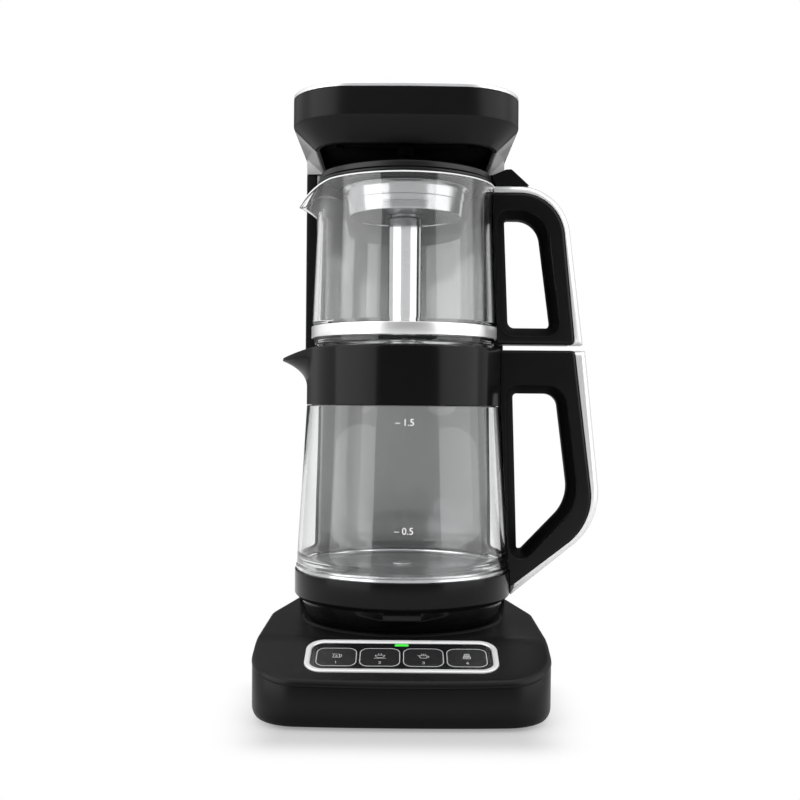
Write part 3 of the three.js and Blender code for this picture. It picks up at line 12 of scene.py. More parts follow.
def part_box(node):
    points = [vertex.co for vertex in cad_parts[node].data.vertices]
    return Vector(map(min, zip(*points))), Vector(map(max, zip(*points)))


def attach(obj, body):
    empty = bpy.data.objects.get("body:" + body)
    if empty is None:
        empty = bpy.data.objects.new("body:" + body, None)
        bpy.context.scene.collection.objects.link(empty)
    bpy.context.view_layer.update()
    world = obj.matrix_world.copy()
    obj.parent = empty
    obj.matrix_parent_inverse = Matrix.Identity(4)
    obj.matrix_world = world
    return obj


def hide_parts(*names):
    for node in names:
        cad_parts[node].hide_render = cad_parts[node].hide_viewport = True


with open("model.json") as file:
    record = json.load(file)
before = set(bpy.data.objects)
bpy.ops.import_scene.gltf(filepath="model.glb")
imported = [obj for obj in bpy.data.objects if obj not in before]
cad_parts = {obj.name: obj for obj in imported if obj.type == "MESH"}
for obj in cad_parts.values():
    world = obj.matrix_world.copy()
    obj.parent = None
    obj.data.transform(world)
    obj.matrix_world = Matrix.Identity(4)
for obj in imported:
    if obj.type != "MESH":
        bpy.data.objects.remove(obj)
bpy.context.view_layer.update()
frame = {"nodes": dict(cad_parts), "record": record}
nodes = frame["nodes"]


# The camera stands at the photograph's place: level, straight in front of the two pots, at half their height,
# and turned half a degree.
def linked(name, data):
    """A new object in the scene that holds a camera, a lamp, a mesh or lettering."""
    made = bpy.data.objects.new(name, data)
    bpy.context.collection.objects.link(made)
    return made


pots_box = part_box("kettle_ring")
pots_x = (pots_box[0][0] + pots_box[1][0]) / 2
pots_y = (pots_box[0][1] + pots_box[1][1]) / 2
camera_data = bpy.data.cameras.new("photo_camera")
camera_data.sensor_width = 36
camera_data.lens = 49.5
camera_data.shift_x = -0.0047
camera_data.shift_y = 0.0062
camera = linked("photo_camera", camera_data)
camera.location = (pots_x, pots_y - 0.792, 0.1987)
camera.rotation_euler = (math.radians(90), math.radians(-0.49), 0)
bpy.context.scene.camera = camera

# The studio: white paper whose colour is painted darker in a soft patch under and in front of the machine, a
# painted shadow over the lamps' own shadow, and which glows evenly further out, so that no horizon shows, and
# a room that mirrors see as dark in front, bright at the sides and dim straight behind.
scene = bpy.context.scene
scene.view_settings.view_transform = "Standard"


def filled(node, inputs):
    """The node, with inputs by name or number linked to sockets or set to values."""
    for name, value in inputs.items():
        if isinstance(value, bpy.types.NodeSocket):
            node.id_data.links.new(value, node.inputs[name])
        else:
            node.inputs[name].default_value = value
    return node


def wired(tree, kind, inputs, **settings):
    """A new node with its settings made and its inputs filled."""
    node = tree.nodes.new(kind)
    for name, value in settings.items():
        setattr(node, name, value)
    return filled(node, inputs)


def math_node(tree, kind, first, second=0.0):
    """The result of a Math node on two sockets or numbers."""
    return wired(tree, "ShaderNodeMath", {0: first, 1: second}, operation=kind).outputs[0]


def ramp(tree, value, low, high, start, end):
    """A smooth step: start below the low value, end above the high one."""
    inputs = {"Value": value, "From Min": low, "From Max": high, "To Min": start, "To Max": end}
    return wired(tree, "ShaderNodeMapRange", inputs, interpolation_type="SMOOTHSTEP").outputs["Result"]


def parts_of(tree, vector):
    """The X, Y and Z of a vector."""
    return wired(tree, "ShaderNodeSeparateXYZ", {0: vector}).outputs


def place_in(tree, kind="Object"):
    """The coordinates of the place that is shaded."""
    return tree.nodes.new("ShaderNodeTexCoord").outputs[kind]


def new_material(name):
    """A material, its tree and its shader."""
    material = bpy.data.materials.new(name)
    material.use_nodes = True
    return material, material.node_tree, material.node_tree.nodes["Principled BSDF"]


def direct_or_through(tree):
    """The light path's outputs, and a mask of the rays that come from the camera or through glass."""
    rays = tree.nodes.new("ShaderNodeLightPath").outputs
    return rays, math_node(tree, "MAXIMUM", rays["Is Camera Ray"], rays["Is Transmission Ray"])


room = bpy.data.worlds.new("studio_room")
scene.world = room
room.use_nodes = True
sky = room.node_tree
sky.nodes.clear()
rays, shown = direct_or_through(sky)
heading = parts_of(sky, place_in(sky, "Generated"))
ahead = ramp(sky, heading["Y"], -0.86, -0.55, 0.12, 1.0)
behind = ramp(sky, heading["Y"], 0.5, 0.93, 1.0, 0.12)
overhead = ramp(sky, heading["Z"], 0.4, 0.65, 0.0, 0.9)
mirror_level = math_node(sky, "MULTIPLY", math_node(sky, "MAXIMUM", ahead, overhead), behind)
mirror_part = math_node(sky, "MULTIPLY", rays["Is Glossy Ray"], mirror_level)
matt_part = math_node(sky, "MULTIPLY", math_node(sky, "SUBTRACT", 1.0, rays["Is Glossy Ray"]), 0.5)
unseen = math_node(sky, "ADD", mirror_part, matt_part)
level = math_node(sky, "MAXIMUM", unseen, shown)
backdrop = wired(sky, "ShaderNodeBackground", {"Color": (1, 1, 1, 1), "Strength": level})
wired(sky, "ShaderNodeOutputWorld", {0: backdrop.outputs[0]})

paper, tree, lit = new_material("floor_paper")
even = wired(tree, "ShaderNodeEmission", {"Color": (1, 1, 1, 1)})
on_floor = parts_of(tree, place_in(tree))
shadow_middle, shadow_half = (pots_x, pots_y - 0.085), (0.07, 0.055)
beyond = []
for axis, middle, half in zip("XY", shadow_middle, shadow_half):
    away = math_node(tree, "ABSOLUTE", math_node(tree, "SUBTRACT", on_floor[axis], middle))
    past = math_node(tree, "MAXIMUM", math_node(tree, "SUBTRACT", away, half), 0.0)
    beyond.append(math_node(tree, "MULTIPLY", past, past))
from_box = math_node(tree, "SQRT", math_node(tree, "ADD", *beyond))
# The paper's colour is painted darker in a soft patch under and in front of the machine: a painted shadow.
# Its glow fades over the same patch so that the lamps' own shadow shows there too.
painted_shadow_tone = wired(tree, "ShaderNodeCombineColor", {i: ramp(tree, from_box, 0.0, 0.05, 0.5, 0.93) for i in range(3)})
filled(lit, {"Roughness": 0.8, "Specular IOR Level": 0.0, "Base Color": painted_shadow_tone.outputs[0]})
glow = math_node(tree, "MULTIPLY", ramp(tree, from_box, 0.0, 0.055, 0.3, 1.0), direct_or_through(tree)[1])
mix = wired(tree, "ShaderNodeMixShader", {0: glow, 1: lit.outputs[0], 2: even.outputs[0]})
filled(tree.nodes["Material Output"], {0: mix.outputs[0]})
floor_reach = 6.0
floor_mesh = bpy.data.meshes.new("paper_floor")
floor_corners = [(x * floor_reach, y * floor_reach, 0) for x, y in ((-1, -1), (1, -1), (1, 1), (-1, 1))]
floor_mesh.from_pydata(floor_corners, [], [(0, 1, 2, 3)])
floor_mesh.materials.append(paper)
linked("paper_floor", floor_mesh)


# Three soft boxes: a tall one on each side of the camera, whose inner edges draw the two upright lines on the
# round black pieces, and a broad weak one overhead.
def softbox(name, width, height, power):
    """A rectangle of light, in metres and watts."""
    light = bpy.data.lights.new(name, "AREA")
    light.shape = "RECTANGLE"
    light.size = width
    light.size_y = height
    light.energy = power
    return linked(name, light)


lamp_reach, lamp_level = 1.45, 0.62
for turn, power in ((-58, 21.0), (67, 16.0)):
    lamp = softbox("side_softbox", 1.55, 2.1, power)
    angle = math.radians(turn)
    lamp.location = (pots_x + lamp_reach * math.sin(angle), pots_y - lamp_reach * math.cos(angle), lamp_level)
    to_pots = Vector((pots_x, pots_y, 0.22)) - lamp.location
    lamp.rotation_euler = to_pots.to_track_quat("-Z", "Y").to_euler()
softbox("top_softbox", 1.8, 1.2, 9.0).location = (pots_x, pots_y - 0.25, 1.9)

# The base: a tray of black moulded plastic with its edges rounded in the mould, and a top cover of the same
# plastic that folds down to the front. Spark erosion gives both a fine satin grain, and the cover rests on
# the tray's lip with a hair of shadow between them.
bodies_of = {node: body for body, held in frame["record"]["behaviour"]["bodies"].items() for node in held}


def grain_group():
    """Fine moulding grain over slow clouds: roughness, height and a tint that change over the surface."""
    group = bpy.data.node_groups.new("moulding_grain", "ShaderNodeTree")
    starts = {"Roughness": 0.4, "Spread": 0.06, "Grain Scale": 2400.0, "Cloud Scale": 22.0}
    for title, start in starts.items():
        socket = group.interface.new_socket(title, in_out="INPUT", socket_type="NodeSocketFloat")
        socket.default_value = start
    for title in ("Roughness", "Height", "Tint"):
        group.interface.new_socket(title, in_out="OUTPUT", socket_type="NodeSocketFloat")
    entry = group.nodes.new("NodeGroupInput").outputs
    where = place_in(group)
    noises = [wired(group, "ShaderNodeTexNoise", {"Vector": where, "Scale": entry[scale], "Detail": detail})
              for scale, detail in (("Grain Scale", 2), ("Cloud Scale", 4))]
    grain, cloud = [noise.outputs["Fac"] for noise in noises]
    drift = math_node(group, "MULTIPLY", math_node(group, "SUBTRACT", cloud, 0.5), entry["Spread"])
    rough = math_node(group, "ADD", entry["Roughness"], drift)
    wired(group, "NodeGroupOutput", {"Roughness": rough, "Height": grain, "Tint": cloud})
    return group


moulding_grain = grain_group()


def plastic(name, dark, light, roughness, bump=0.05, spread=0.08, grain=2400.0, gloss=0.5):
    """Moulded plastic: its colour drifts between two near shades, and its sheen follows the grain."""
    material, tree, shader = new_material(name)
    inputs = {"Roughness": roughness, "Spread": spread, "Grain Scale": grain}
    grained = wired(tree, "ShaderNodeGroup", inputs, node_tree=moulding_grain).outputs
    inputs = {"A": (*dark, 1), "B": (*light, 1), "Factor": grained["Tint"]}
    shades = wired(tree, "ShaderNodeMix", inputs, data_type="RGBA")
    inputs = {"Strength": bump, "Distance": 0.0004, "Height": grained["Height"]}
    relief = wired(tree, "ShaderNodeBump", inputs)
    filled(shader, {"Base Color": shades.outputs["Result"], "Roughness": grained["Roughness"],
                    "Normal": relief.outputs["Normal"], "Specular IOR Level": gloss})
    return material


def finished_mesh(piece):
    """A new mesh of a piece as its modifiers or its lettering shape it."""
    bpy.context.view_layer.update()
    return bpy.data.meshes.new_from_object(piece.evaluated_get(bpy.context.evaluated_depsgraph_get()))


def plain_mesh(piece):
    """Turns a piece's modifiers into its mesh."""
    mesh = finished_mesh(piece)
    piece.modifiers.clear()
    piece.data = mesh


def place(piece, material, body, slot, *stands_for):
    """Gives a piece its one material, hangs it on the body it rides on and hides the nodes it stands for. The
    slot is not used.
    """
    piece.data.materials.clear()
    piece.data.materials.append(material)
    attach(piece, body)
    if stands_for:
        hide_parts(*stands_for)
    return piece


def shade(mesh, angle):
    """Smooth shading that keeps the edges sharper than the angle."""
    mesh.polygons.foreach_set("use_smooth", [True] * len(mesh.polygons))
    mesh.set_sharp_from_angle(angle=math.radians(angle))


full_turn = 2 * math.pi


def soft_corners(corners, steps=4):
    """A closed line through corners, each across, up and perhaps a radius. Roundings that would meet share
    the edge between them."""
    places = [Vector(corner[:2]) for corner in corners]
    radii = [corner[2] if len(corner) > 2 else 0 for corner in corners]
    count = len(places)
    edges = [places[(i + 1) % count] - places[i] for i in range(count)]
    halves = [(math.pi - edges[i - 1].angle(edges[i])) / 2 for i in range(count)]
    setbacks = [radius / math.tan(half) for radius, half in zip(radii, halves)]
    wanted = [max(setbacks[i] + setbacks[(i + 1) % count], 0.000001) for i in range(count)]
    room = [min(1, edge.length / length) for edge, length in zip(edges, wanted)]
    points = []
    for i, here in enumerate(places):
        radius, half = radii[i] * min(room[i], room[i - 1]), halves[i]
        if radius == 0 or math.cos(half) < 0.0001:
            points.append(here)
            continue
        back, ahead = -edges[i - 1].normalized(), edges[i].normalized()
        centre = here + (back + ahead).normalized() * (radius / math.sin(half))
        start = here + back * (radius / math.tan(half)) - centre
        end = here + ahead * (radius / math.tan(half)) - centre
        turn = math.atan2(start.x * end.y - start.y * end.x, start.dot(end))
        for step in range(steps + 1):
            points.append(centre + Matrix.Rotation(turn * step / steps, 2) @ start)
    return points


def both_sides(half, steps):
    """A closed line from the half on its right, which starts and ends in the middle."""
    return soft_corners(half + [(-x, y, *radius) for x, y, *radius in half[-2:0:-1]], steps)


def drawn_in(line, distance):
    """The same closed line drawn in by a distance."""
    count = len(line)
    area = sum(a.x * b.y - a.y * b.x for a, b in zip(line, line[1:] + line[:1]))
    points = []
    for i, point in enumerate(line):
        before = (point - line[i - 1]).normalized()
        after = (line[(i + 1) % count] - point).normalized()
        inward = Vector((-before.y - after.y, before.x + after.x)).normalized()
        share = max(math.sqrt((1 + before.dot(after)) / 2), 0.4)
        points.append(point + inward * (math.copysign(1, area) * distance / share))
    return points


def from_axis(x, y, z):
    """The scene's place for a point in millimetres from the pots' axis and the table."""
    return pots_x + x / 1000, pots_y + y / 1000, z / 1000


def formed(name, form):
    """A piece with the shape of a form, which is freed."""
    mesh = bpy.data.meshes.new(name)
    form.to_mesh(mesh)
    form.free()
    return linked(name, mesh)


def skinned(name, rings, wrap=True, angle=40, strips=False):
    """A surface over rings of points, which wraps from the last ring to the first or has closed ends. Strips
    close an end from each point to its mirror image, so that it can be bent."""
    count = len(rings[0])
    form = bmesh.new()
    rows = [[form.verts.new(from_axis(*point)) for point in ring] for ring in rings]
    for i in range(len(rows) if wrap else len(rows) - 1):
        low, high = rows[i], rows[(i + 1) % len(rows)]
        for j in range(count):
            k = (j + 1) % count
            form.faces.new((low[j], low[k], high[k], high[j]))
    for row in () if wrap else (rows[0], rows[-1]):
        if strips:
            for j in range(1, (count + 1) // 2):
                strip = [row[j], row[(j + 1) % count], row[(count - j - 1) % count], row[(count - j) % count]]
                form.faces.new(list(dict.fromkeys(strip)))
            form.faces.new((row[0], row[1], row[-1]))
        elif (row[0].co - row[count // 2].co).length > 0.000001:
            form.faces.new(row)
    bmesh.ops.remove_doubles(form, verts=form.verts, dist=0.0000005)
    bmesh.ops.recalc_face_normals(form, faces=form.faces)
    piece = formed(name, form)
    shade(piece.data, angle)
    return piece


def turned(name, section, sides=144, steps=4, angle=40, wrap=True):
    """A wall turned round the pots' axis from its section of radii and levels."""
    line = soft_corners(section, steps)
    turns = [full_turn * i / sides for i in range(sides)]
    rings = [[(p.x * math.cos(a), p.x * math.sin(a), p.y) for a in turns] for p in line]
    return skinned(name, rings, wrap, angle)


def carved(piece, *tools):
    """Cuts the tools out of the piece."""
    for tool in tools:
        cut = piece.modifiers.new("cut", "BOOLEAN")
        cut.operation, cut.solver, cut.object = "DIFFERENCE", "EXACT", tool
    plain_mesh(piece)
    for tool in tools:
        bpy.data.objects.remove(tool)
    shade(piece.data, 30)
    return piece


def softened(node, material, slot, width=0.0006, steps=2, angle=28):
    """The node's own shape with its edges rounded as a mould rounds them."""
    mesh = nodes[node].data.copy()
    form = bmesh.new()
    form.from_mesh(mesh)
    bmesh.ops.remove_doubles(form, verts=form.verts, dist=0.000002)
    bmesh.ops.dissolve_limit(form, angle_limit=math.radians(0.3), verts=form.verts, edges=form.edges)
    form.to_mesh(mesh)
    form.free()
    mesh.attributes.active = None
    piece = linked(node + "_finished", mesh)
    if width:
        rounding = piece.modifiers.new("rounding", "BEVEL")
        rounding.width = width
        rounding.segments = steps
        rounding.limit_method = "ANGLE"
        rounding.angle_limit = math.radians(angle)
        rounding.use_clamp_overlap = True
    plain_mesh(piece)
    shade(piece.data, 35)
    return place(piece, material, bodies_of[node], slot, node)


black_satin = plastic("black_satin_plastic", (0.0042, 0.0042, 0.0044), (0.0062, 0.0062, 0.0064), 0.3,
                      gloss=0.15)
hair = 0.3
base_half, base_front, base_bow, base_back = 95, -127, 3.6, 122
foot_half, foot_height = 79, 1.6
seat_level, fold_place, fold_blend, slope = 46.8, -74, 9, math.radians(17)
crest_drop, crest_round, tray_wall = 3.8, 3, 2.6


def seat_surface(y):
    """The level of the base's top: flat under the kettle, then a soft fold and a straight slope."""
    ahead = fold_place - y
    bent = (ahead + fold_blend) ** 2 / (4 * fold_blend) if abs(ahead) < fold_blend else max(ahead, 0)
    return seat_level - bent * math.tan(slope)


def base_line():
    """The base seen from above: a bowed front, round corners and shoulders that draw in to the column."""
    front = [(x, base_front + base_bow * (x / base_half) ** 2) for x in (0, 12, 24, 36, 47.5)]
    fold = [(base_half, fold_place + fold_blend * step / 4) for step in range(-4, 5)]
    side = front + [(base_half, base_front + base_bow, 32)] + fold
    side += [(base_half, 12, 44), (foot_half, 92, 22), (foot_half, base_back, 16), (0, base_back)]
    return both_sides(side, 16)


def level_ring(line, level):
    """A ring over a line, at a level that may follow its depth."""
    return [(point.x, point.y, level(point.y)) for point in line]


def tray_lip(y):
    """The level of the tray's upper edge, a hair under the cover."""
    return seat_surface(y) - crest_drop - hair


base_plan = base_line()
bottom_round, bottom_rise = 4.65, 8
outside = []
for step in range(9):
    turn = math.radians(90 * step / 8)
    edge = drawn_in(base_plan, 0.35 + bottom_round * (1 - math.sin(turn)))
    outside.append(level_ring(edge, lambda y, rise=1 - math.cos(turn): foot_height + bottom_rise * rise))
outside.append(level_ring(drawn_in(base_plan, 0.25), lambda y: tray_lip(y) - 0.5))
outside.append(level_ring(drawn_in(base_plan, 0.5), tray_lip))
inside = [level_ring(drawn_in(base_plan, tray_wall), tray_lip),
          level_ring(drawn_in(base_plan, tray_wall + bottom_round), lambda y: foot_height + 3)]
tray = skinned("base_tray_moulding", outside + inside, False, strips=True)
place(tray, black_satin, "root", "black", "base_tray")

crest = []
for step in range(7):
    turn = math.radians(90 * step / 6)
    edge = drawn_in(base_plan, crest_round * (1 - math.cos(turn)))
    crest.append(level_ring(edge, lambda y, down=1 - math.sin(turn): seat_surface(y) - crest_round * down))
lower = [level_ring(drawn_in(base_plan, 0.3), lambda y: seat_surface(y) - crest_drop),
         level_ring(base_plan, lambda y: seat_surface(y) - crest_drop + 0.3)]
cover = skinned("base_cover_moulding", lower + crest, False, strips=True)
place(cover, black_satin, "root", "black", "base_top_cover")
foot_rubber = plastic("foot_rubber", (0.02, 0.02, 0.02), (0.035, 0.035, 0.035), 0.8, bump=0.2, grain=900.0)
for number in (1, 2, 3, 4):
    softened("foot_%d" % number, foot_rubber, "rubber", 0.0005)
softened("cord_gland", foot_rubber, "rubber", 0.0004)

# The key panel: a satin silver frame let into the slope, a glossy black plate inside it, and four black keys
# that stand a little proud in the plate's windows. All are moulded, and the frame is plated. A green lens
# over the keys lights when the machine is on.


def metal(name, colour, roughness, spread=0.05, stretch=(40, 40, 2600), bump=0.02, metallic=1.0):
    """Bright metal with fine lines left by polishing or brushing, which run across the stretched axis."""
    material, tree, shader = new_material(name)
    stretched = wired(tree, "ShaderNodeMapping", {"Vector": place_in(tree), "Scale": stretch}).outputs[0]
    lines = wired(tree, "ShaderNodeTexNoise", {"Vector": stretched, "Scale": 1.0, "Detail": 3}).outputs["Fac"]
    inputs = {"Value": lines, "To Min": max(roughness - spread, 0.02), "To Max": roughness + spread}
    rough = wired(tree, "ShaderNodeMapRange", inputs)
    relief = wired(tree, "ShaderNodeBump", {"Strength": bump, "Distance": 0.0002, "Height": lines})
    filled(shader, {"Base Color": (*colour, 1), "Metallic": metallic, "Roughness": rough.outputs["Result"],
                    "Normal": relief.outputs["Normal"]})
    return material


frame_silver = metal("frame_silver", (0.8, 0.8, 0.805), 0.36, 0.04, (30, 30, 30), 0.004, 0.3)
gloss_black = plastic("gloss_black_plate", (0.008, 0.008, 0.009), (0.011, 0.011, 0.012), 0.12, bump=0.01,
                      spread=0.03)
key_black = plastic("key_black", (0.014, 0.014, 0.015), (0.02, 0.02, 0.021), 0.3, bump=0.03)
lamp_lens = plastic("lamp_lens", (0.03, 0.5, 0.03), (0.06, 0.62, 0.06), 0.2, bump=0.02)
filled(lamp_lens.node_tree.nodes["Principled BSDF"],
       {"Emission Color": (0.05, 0.7, 0.05, 1), "Emission Strength": 0.6})
panel_place, bezel_width, bezel_height, bezel_corner, bezel_band = -97.1, 122, 38.9, 12, 3.6
bezel_stand, plate_stand, rebate = 1.1, 0.4, 1
key_width, key_height, key_corner, key_pitch = 26.2, 22.8, 6, 27.4
key_drop, key_stand, key_depth = 2.2, 0.7, 2.6
lamp_width, lamp_height, lamp_rise = 9, 2.6, 13.5


def on_slope(line, level):
    """Points drawn flat, carried on to the sloped front."""
    lean = Matrix.Rotation(slope, 3, "X")
    middle = Vector((0, panel_place, seat_surface(panel_place)))
    return [tuple(lean @ Vector((point.x, point.y, level)) + middle) for point in line]


def rounded(width, height, radius, x=0, y=0, steps=12):
    """A rounded rectangle about a centre."""
    right, left, top, bottom = x + width / 2, x - width / 2, y + height / 2, y - height / 2
    corners = [(right, bottom), (right, top), (left, top), (left, bottom)]
    return soft_corners([(*corner, radius) for corner in corners], steps)


def slope_rings(line, *steps):
    """Rings on the slope: pairs of how far each is drawn in from the line and how high it stands."""
    return [on_slope(drawn_in(line, inset), level) for inset, level in steps]


def framed(name, line, section):
    """A piece whose section, drawn in from its line and up from the slope, runs round the line."""
    return skinned(name, slope_rings(line, *soft_corners(section, 5)), angle=32)


key_lines = {number: rounded(key_width, key_height, key_corner, (number - 2.5) * key_pitch, -key_drop)
             for number in (1, 2, 3, 4)}
lamp_line = rounded(lamp_width, lamp_height, lamp_height / 2 - 0.01, 0, lamp_rise)
bezel_line = rounded(bezel_width, bezel_height, bezel_corner, steps=20)
bezel_low = hair - rebate
bezel_section = [(0, bezel_low), (0, bezel_stand, 0.8), (bezel_band, bezel_stand - 0.2, 1),
                 (bezel_band, bezel_low)]
bezel = framed("panel_bezel_frame", bezel_line, bezel_section)
place(bezel, frame_silver, "root", "chrome", "panel_bezel")
plate_rings = slope_rings(drawn_in(bezel_line, bezel_band + hair), (0, bezel_low), (0, plate_stand - 0.15),
                          (0.15, plate_stand))
holes = [skinned("hole", slope_rings(line, (-hair, -6), (-hair, 6)), False)
         for line in (*key_lines.values(), lamp_line)]
plate = carved(skinned("panel_plate_window", plate_rings, False, 20), *holes)
place(plate, gloss_black, "root", "gloss", "panel_plate")
for number, line in key_lines.items():
    rings = slope_rings(line, (0, -key_depth), (0, key_stand - 0.3), (0.09, key_stand - 0.09),
                        (0.3, key_stand), (1.2, key_stand), (3.4, key_stand - 0.12), (6, key_stand - 0.2))
    key = "key_%d" % number
    place(skinned(key + "_cap", rings, False, 25), key_black, bodies_of[key], "black", key)
lens_rings = slope_rings(lamp_line, (0, bezel_low), (0, plate_stand + 0.15), (0.3, plate_stand + 0.3))
place(skinned("status_lamp_lens", lens_rings, False, 60), lamp_lens, "root", "lamp", "status_lamp")
recess = skinned("recess", slope_rings(bezel_line, (-hair, -rebate), (-hair, 8)), False)
window_line = rounded(3 * key_pitch + key_width + 1.2, key_height + 1.2, key_corner, 0, -key_drop)
window = skinned("window", slope_rings(window_line, (0, -9), (0, 8)), False)
carved(cover, recess, window)

# Each key carries a thin silver outline and a pictogram, printed on its cap, over a plain number. From the
# left: boil, brew, keep warm, and both pots at once.
print_silver = plastic("print_silver", (0.5, 0.5, 0.505), (0.6, 0.6, 0.605), 0.35, bump=0.01)
print_white = plastic("print_white", (0.62, 0.62, 0.62), (0.7, 0.7, 0.7), 0.4, bump=0.01)
line_inset, line_width = 0.35, 0.5
pictogram_rise, pictogram_stroke, number_rise, number_stroke = 1.6, 0.34, -6.6, 0.3
pictograms = {
    1: [[(-2.2, -2.4), (2.2, -2.4), (1.7, 1.8), (-1.5, 1.8), (-2.2, -2.4)],
        [(1.8, 1.2), (3.3, 0.9), (3.1, -1.2), (2.2, -1.8)], [(-1.5, 1.8), (-2.7, 2.2)],
        [(-0.6, -1.2), (0, 0.4), (0.6, -1.2), (-0.6, -1.2)]],
    2: [[(-3, 0.8), (-2.4, -1.2), (-1.2, -2.2), (1.2, -2.2), (2.4, -1.2), (3, 0.8), (-3, 0.8)],
        [(-3.6, -2.9), (3.6, -2.9)], [(-0.9, 1.6), (-0.6, 2.2), (-0.9, 2.9)],
        [(0.7, 1.6), (1, 2.2), (0.7, 2.9)]],
    3: [[(-2, -2.4), (2, -2.4), (2.4, 0.6), (-2.4, 0.6), (-2, -2.4)],
        [(2.3, 0), (3.6, 0), (3.2, -1.6), (2.1, -1.8)], [(-2.4, 0.2), (-3.5, 1)],
        [(-1.2, 1.4), (-0.9, 2), (-1.2, 2.7)], [(0, 1.4), (0.3, 2), (0, 2.7)],
        [(1.2, 1.4), (1.5, 2), (1.2, 2.7)]],
    4: [[(-2.4, -2.8), (2.4, -2.8), (2.1, -0.2), (-2.1, -0.2), (-2.4, -2.8)],
        [(-1.7, 0.5), (1.7, 0.5), (1.5, 2.4), (-1.5, 2.4), (-1.7, 0.5)], [(-1.2, 1.1), (1.2, 1.1)],
        [(-1.9, -1), (1.9, -1)], [(-1.9, -1.9), (1.9, -1.9)], [(-1.6, 3), (1.6, 3)]],
}
numerals = {
    1: [[(-0.5, 0.7), (0, 1.2), (0, -1.2)]],
    2: [[(-0.7, 0.8), (-0.3, 1.2), (0.4, 1.2), (0.7, 0.7), (0.6, 0.2), (-0.7, -1.2), (0.8, -1.2)]],
    3: [[(-0.6, 1.2), (0.6, 1.2), (0, 0.2), (0.6, -0.2), (0.6, -0.9), (0.2, -1.2), (-0.4, -1.2),
         (-0.7, -0.9)]],
    4: [[(0.4, -1.2), (0.4, 1.2), (-0.7, -0.4), (0.9, -0.4)]],
}


def stroke(form, points, width, x, y, level):
    """A flat ribbon along a line of points on the slope."""
    for (ax, ay), (bx, by) in zip(points, points[1:]):
        along = Vector((bx - ax, by - ay)).normalized() * width / 2
        side = Vector((-along.y, along.x))
        a, b = Vector((x + ax, y + ay)) - along, Vector((x + bx, y + by)) + along
        corners = on_slope([a - side, b - side, b + side, a + side], level)
        form.faces.new([form.verts.new(from_axis(*corner)) for corner in corners])


def printed(name, strokes, width, x, y, level):
    """All the ribbons of one printed sign as one piece."""
    form = bmesh.new()
    for points in strokes:
        stroke(form, points, width, x, y, level)
    return formed(name, form)


print_low, print_top, line_inner = key_stand - 0.02, key_stand + 0.03, line_inset + line_width
outline_section = [(line_inset, print_low), (line_inset, print_top), (line_inner, print_top),
                   (line_inner, print_low)]
for number, line in key_lines.items():
    key = "key_%d" % number
    body = bodies_of[key]
    place(framed(key + "_outline", line, outline_section), print_silver, body, "black")
    for tag, strokes, width, y in (("_pictogram", pictograms[number], pictogram_stroke, pictogram_rise),
                                   ("_number", numerals[number], number_stroke, number_rise)):
        sign = printed(key + tag, strokes, width, (number - 2.5) * key_pitch, y - key_drop, print_top)
        place(sign, print_white, body, "black")

# Under the panel, out of sight: a milky silicone mat, moulded as one flat sheet, that the keys press on, and
# the green control board that lies under it along the slope.
milky_moulding = plastic("milky_moulding", (0.7, 0.72, 0.71), (0.8, 0.82, 0.81), 0.45, bump=0.04)
board_green = plastic("board_green", (0.02, 0.16, 0.06), (0.03, 0.22, 0.09), 0.35, bump=0.08, grain=700.0)
softened("key_mat", milky_moulding, "clear", 0.0004)
softened("control_board", board_green, "board", 0.0)

# The seat on the base: a raised black ring that centres the kettle, a round black post that brings the
# power, and a milky water tube up the middle of the post. All three are moulded, with softened edges.
# The seat ring's black is darker and duller than the base's: painted shade, where the kettle's shadow falls
# on it.
seat_shade_black = plastic("seat_shade_black", (0.0014, 0.0014, 0.0014), (0.0022, 0.0022, 0.0022), 0.4, gloss=0.08)
softened("kettle_seat_ring", seat_shade_black, "black", 0.0004, 3)
softened("power_connector", black_satin, "black", 0.0005)
softened("water_coupling", milky_moulding, "clear", 0.0004)

# Inside the base: the pump with its motor and rotor, and the power board. Milky hoses lead from the coupling
# through the pump and up the column to the head.
dark_satin = plastic("dark_satin_plastic", (0.035, 0.035, 0.037), (0.05, 0.05, 0.052), 0.42)
brushed = metal("brushed_steel", (0.74, 0.745, 0.75), 0.24, 0.06, (60, 60, 3200), 0.03)
softened("pump_housing", dark_satin, "dark", 0.0006)
softened("pump_rotor", brushed, "steel", 0.0)
softened("pump_motor", brushed, "steel", 0.0006)
for hose in ("inlet_hose", "pump_outlet_pipe", "riser_pipe", "head_hose"):
    softened(hose, milky_moulding, "clear", 0.0)
softened("power_board", board_green, "board", 0.0)

# The column: a black shell whose two wings stand beside the pots, a silver-grey liner that curves round them,
# and a rear cover with cooling slots near its foot. All three are moulded.
liner_grey = plastic("liner_grey", (0.235, 0.235, 0.238), (0.26, 0.26, 0.263), 0.15, bump=0.01, spread=0.02,
                     gloss=1.0)
softened("column_shell", black_satin, "black", 0.0008, 3)
softened("column_liner", liner_grey, "silver", 0.0003)
softened("column_rear_cover", black_satin, "black", 0.0004)

# The head: a black housing whose lower band tapers inwards, a bright rim round its top edge, and pale trims
# on the tapered sides. Its underside is a sunk black panel held by two screws, with the nozzle in the middle.
pale_trim = metal("pale_trim", (0.34, 0.34, 0.345), 0.34, 0.05, (50, 50, 50), 0.01, 0.5)
head_half, head_front, head_back, head_crease, head_top = 78, -68, 122, 389.6, 408.4
head_low, band_inset, head_wall, rim_height, rim_band = 375, 15, 3, 3.2, 4.6
neck_half, neck_front, back_corner = 76, 55, 18
head_side = [(0, head_front - 1), (head_half, head_front + 1, 42), (head_half, 27.5),
             (head_half, head_back, back_corner), (0, head_back)]
head_plan = both_sides(head_side, 20)


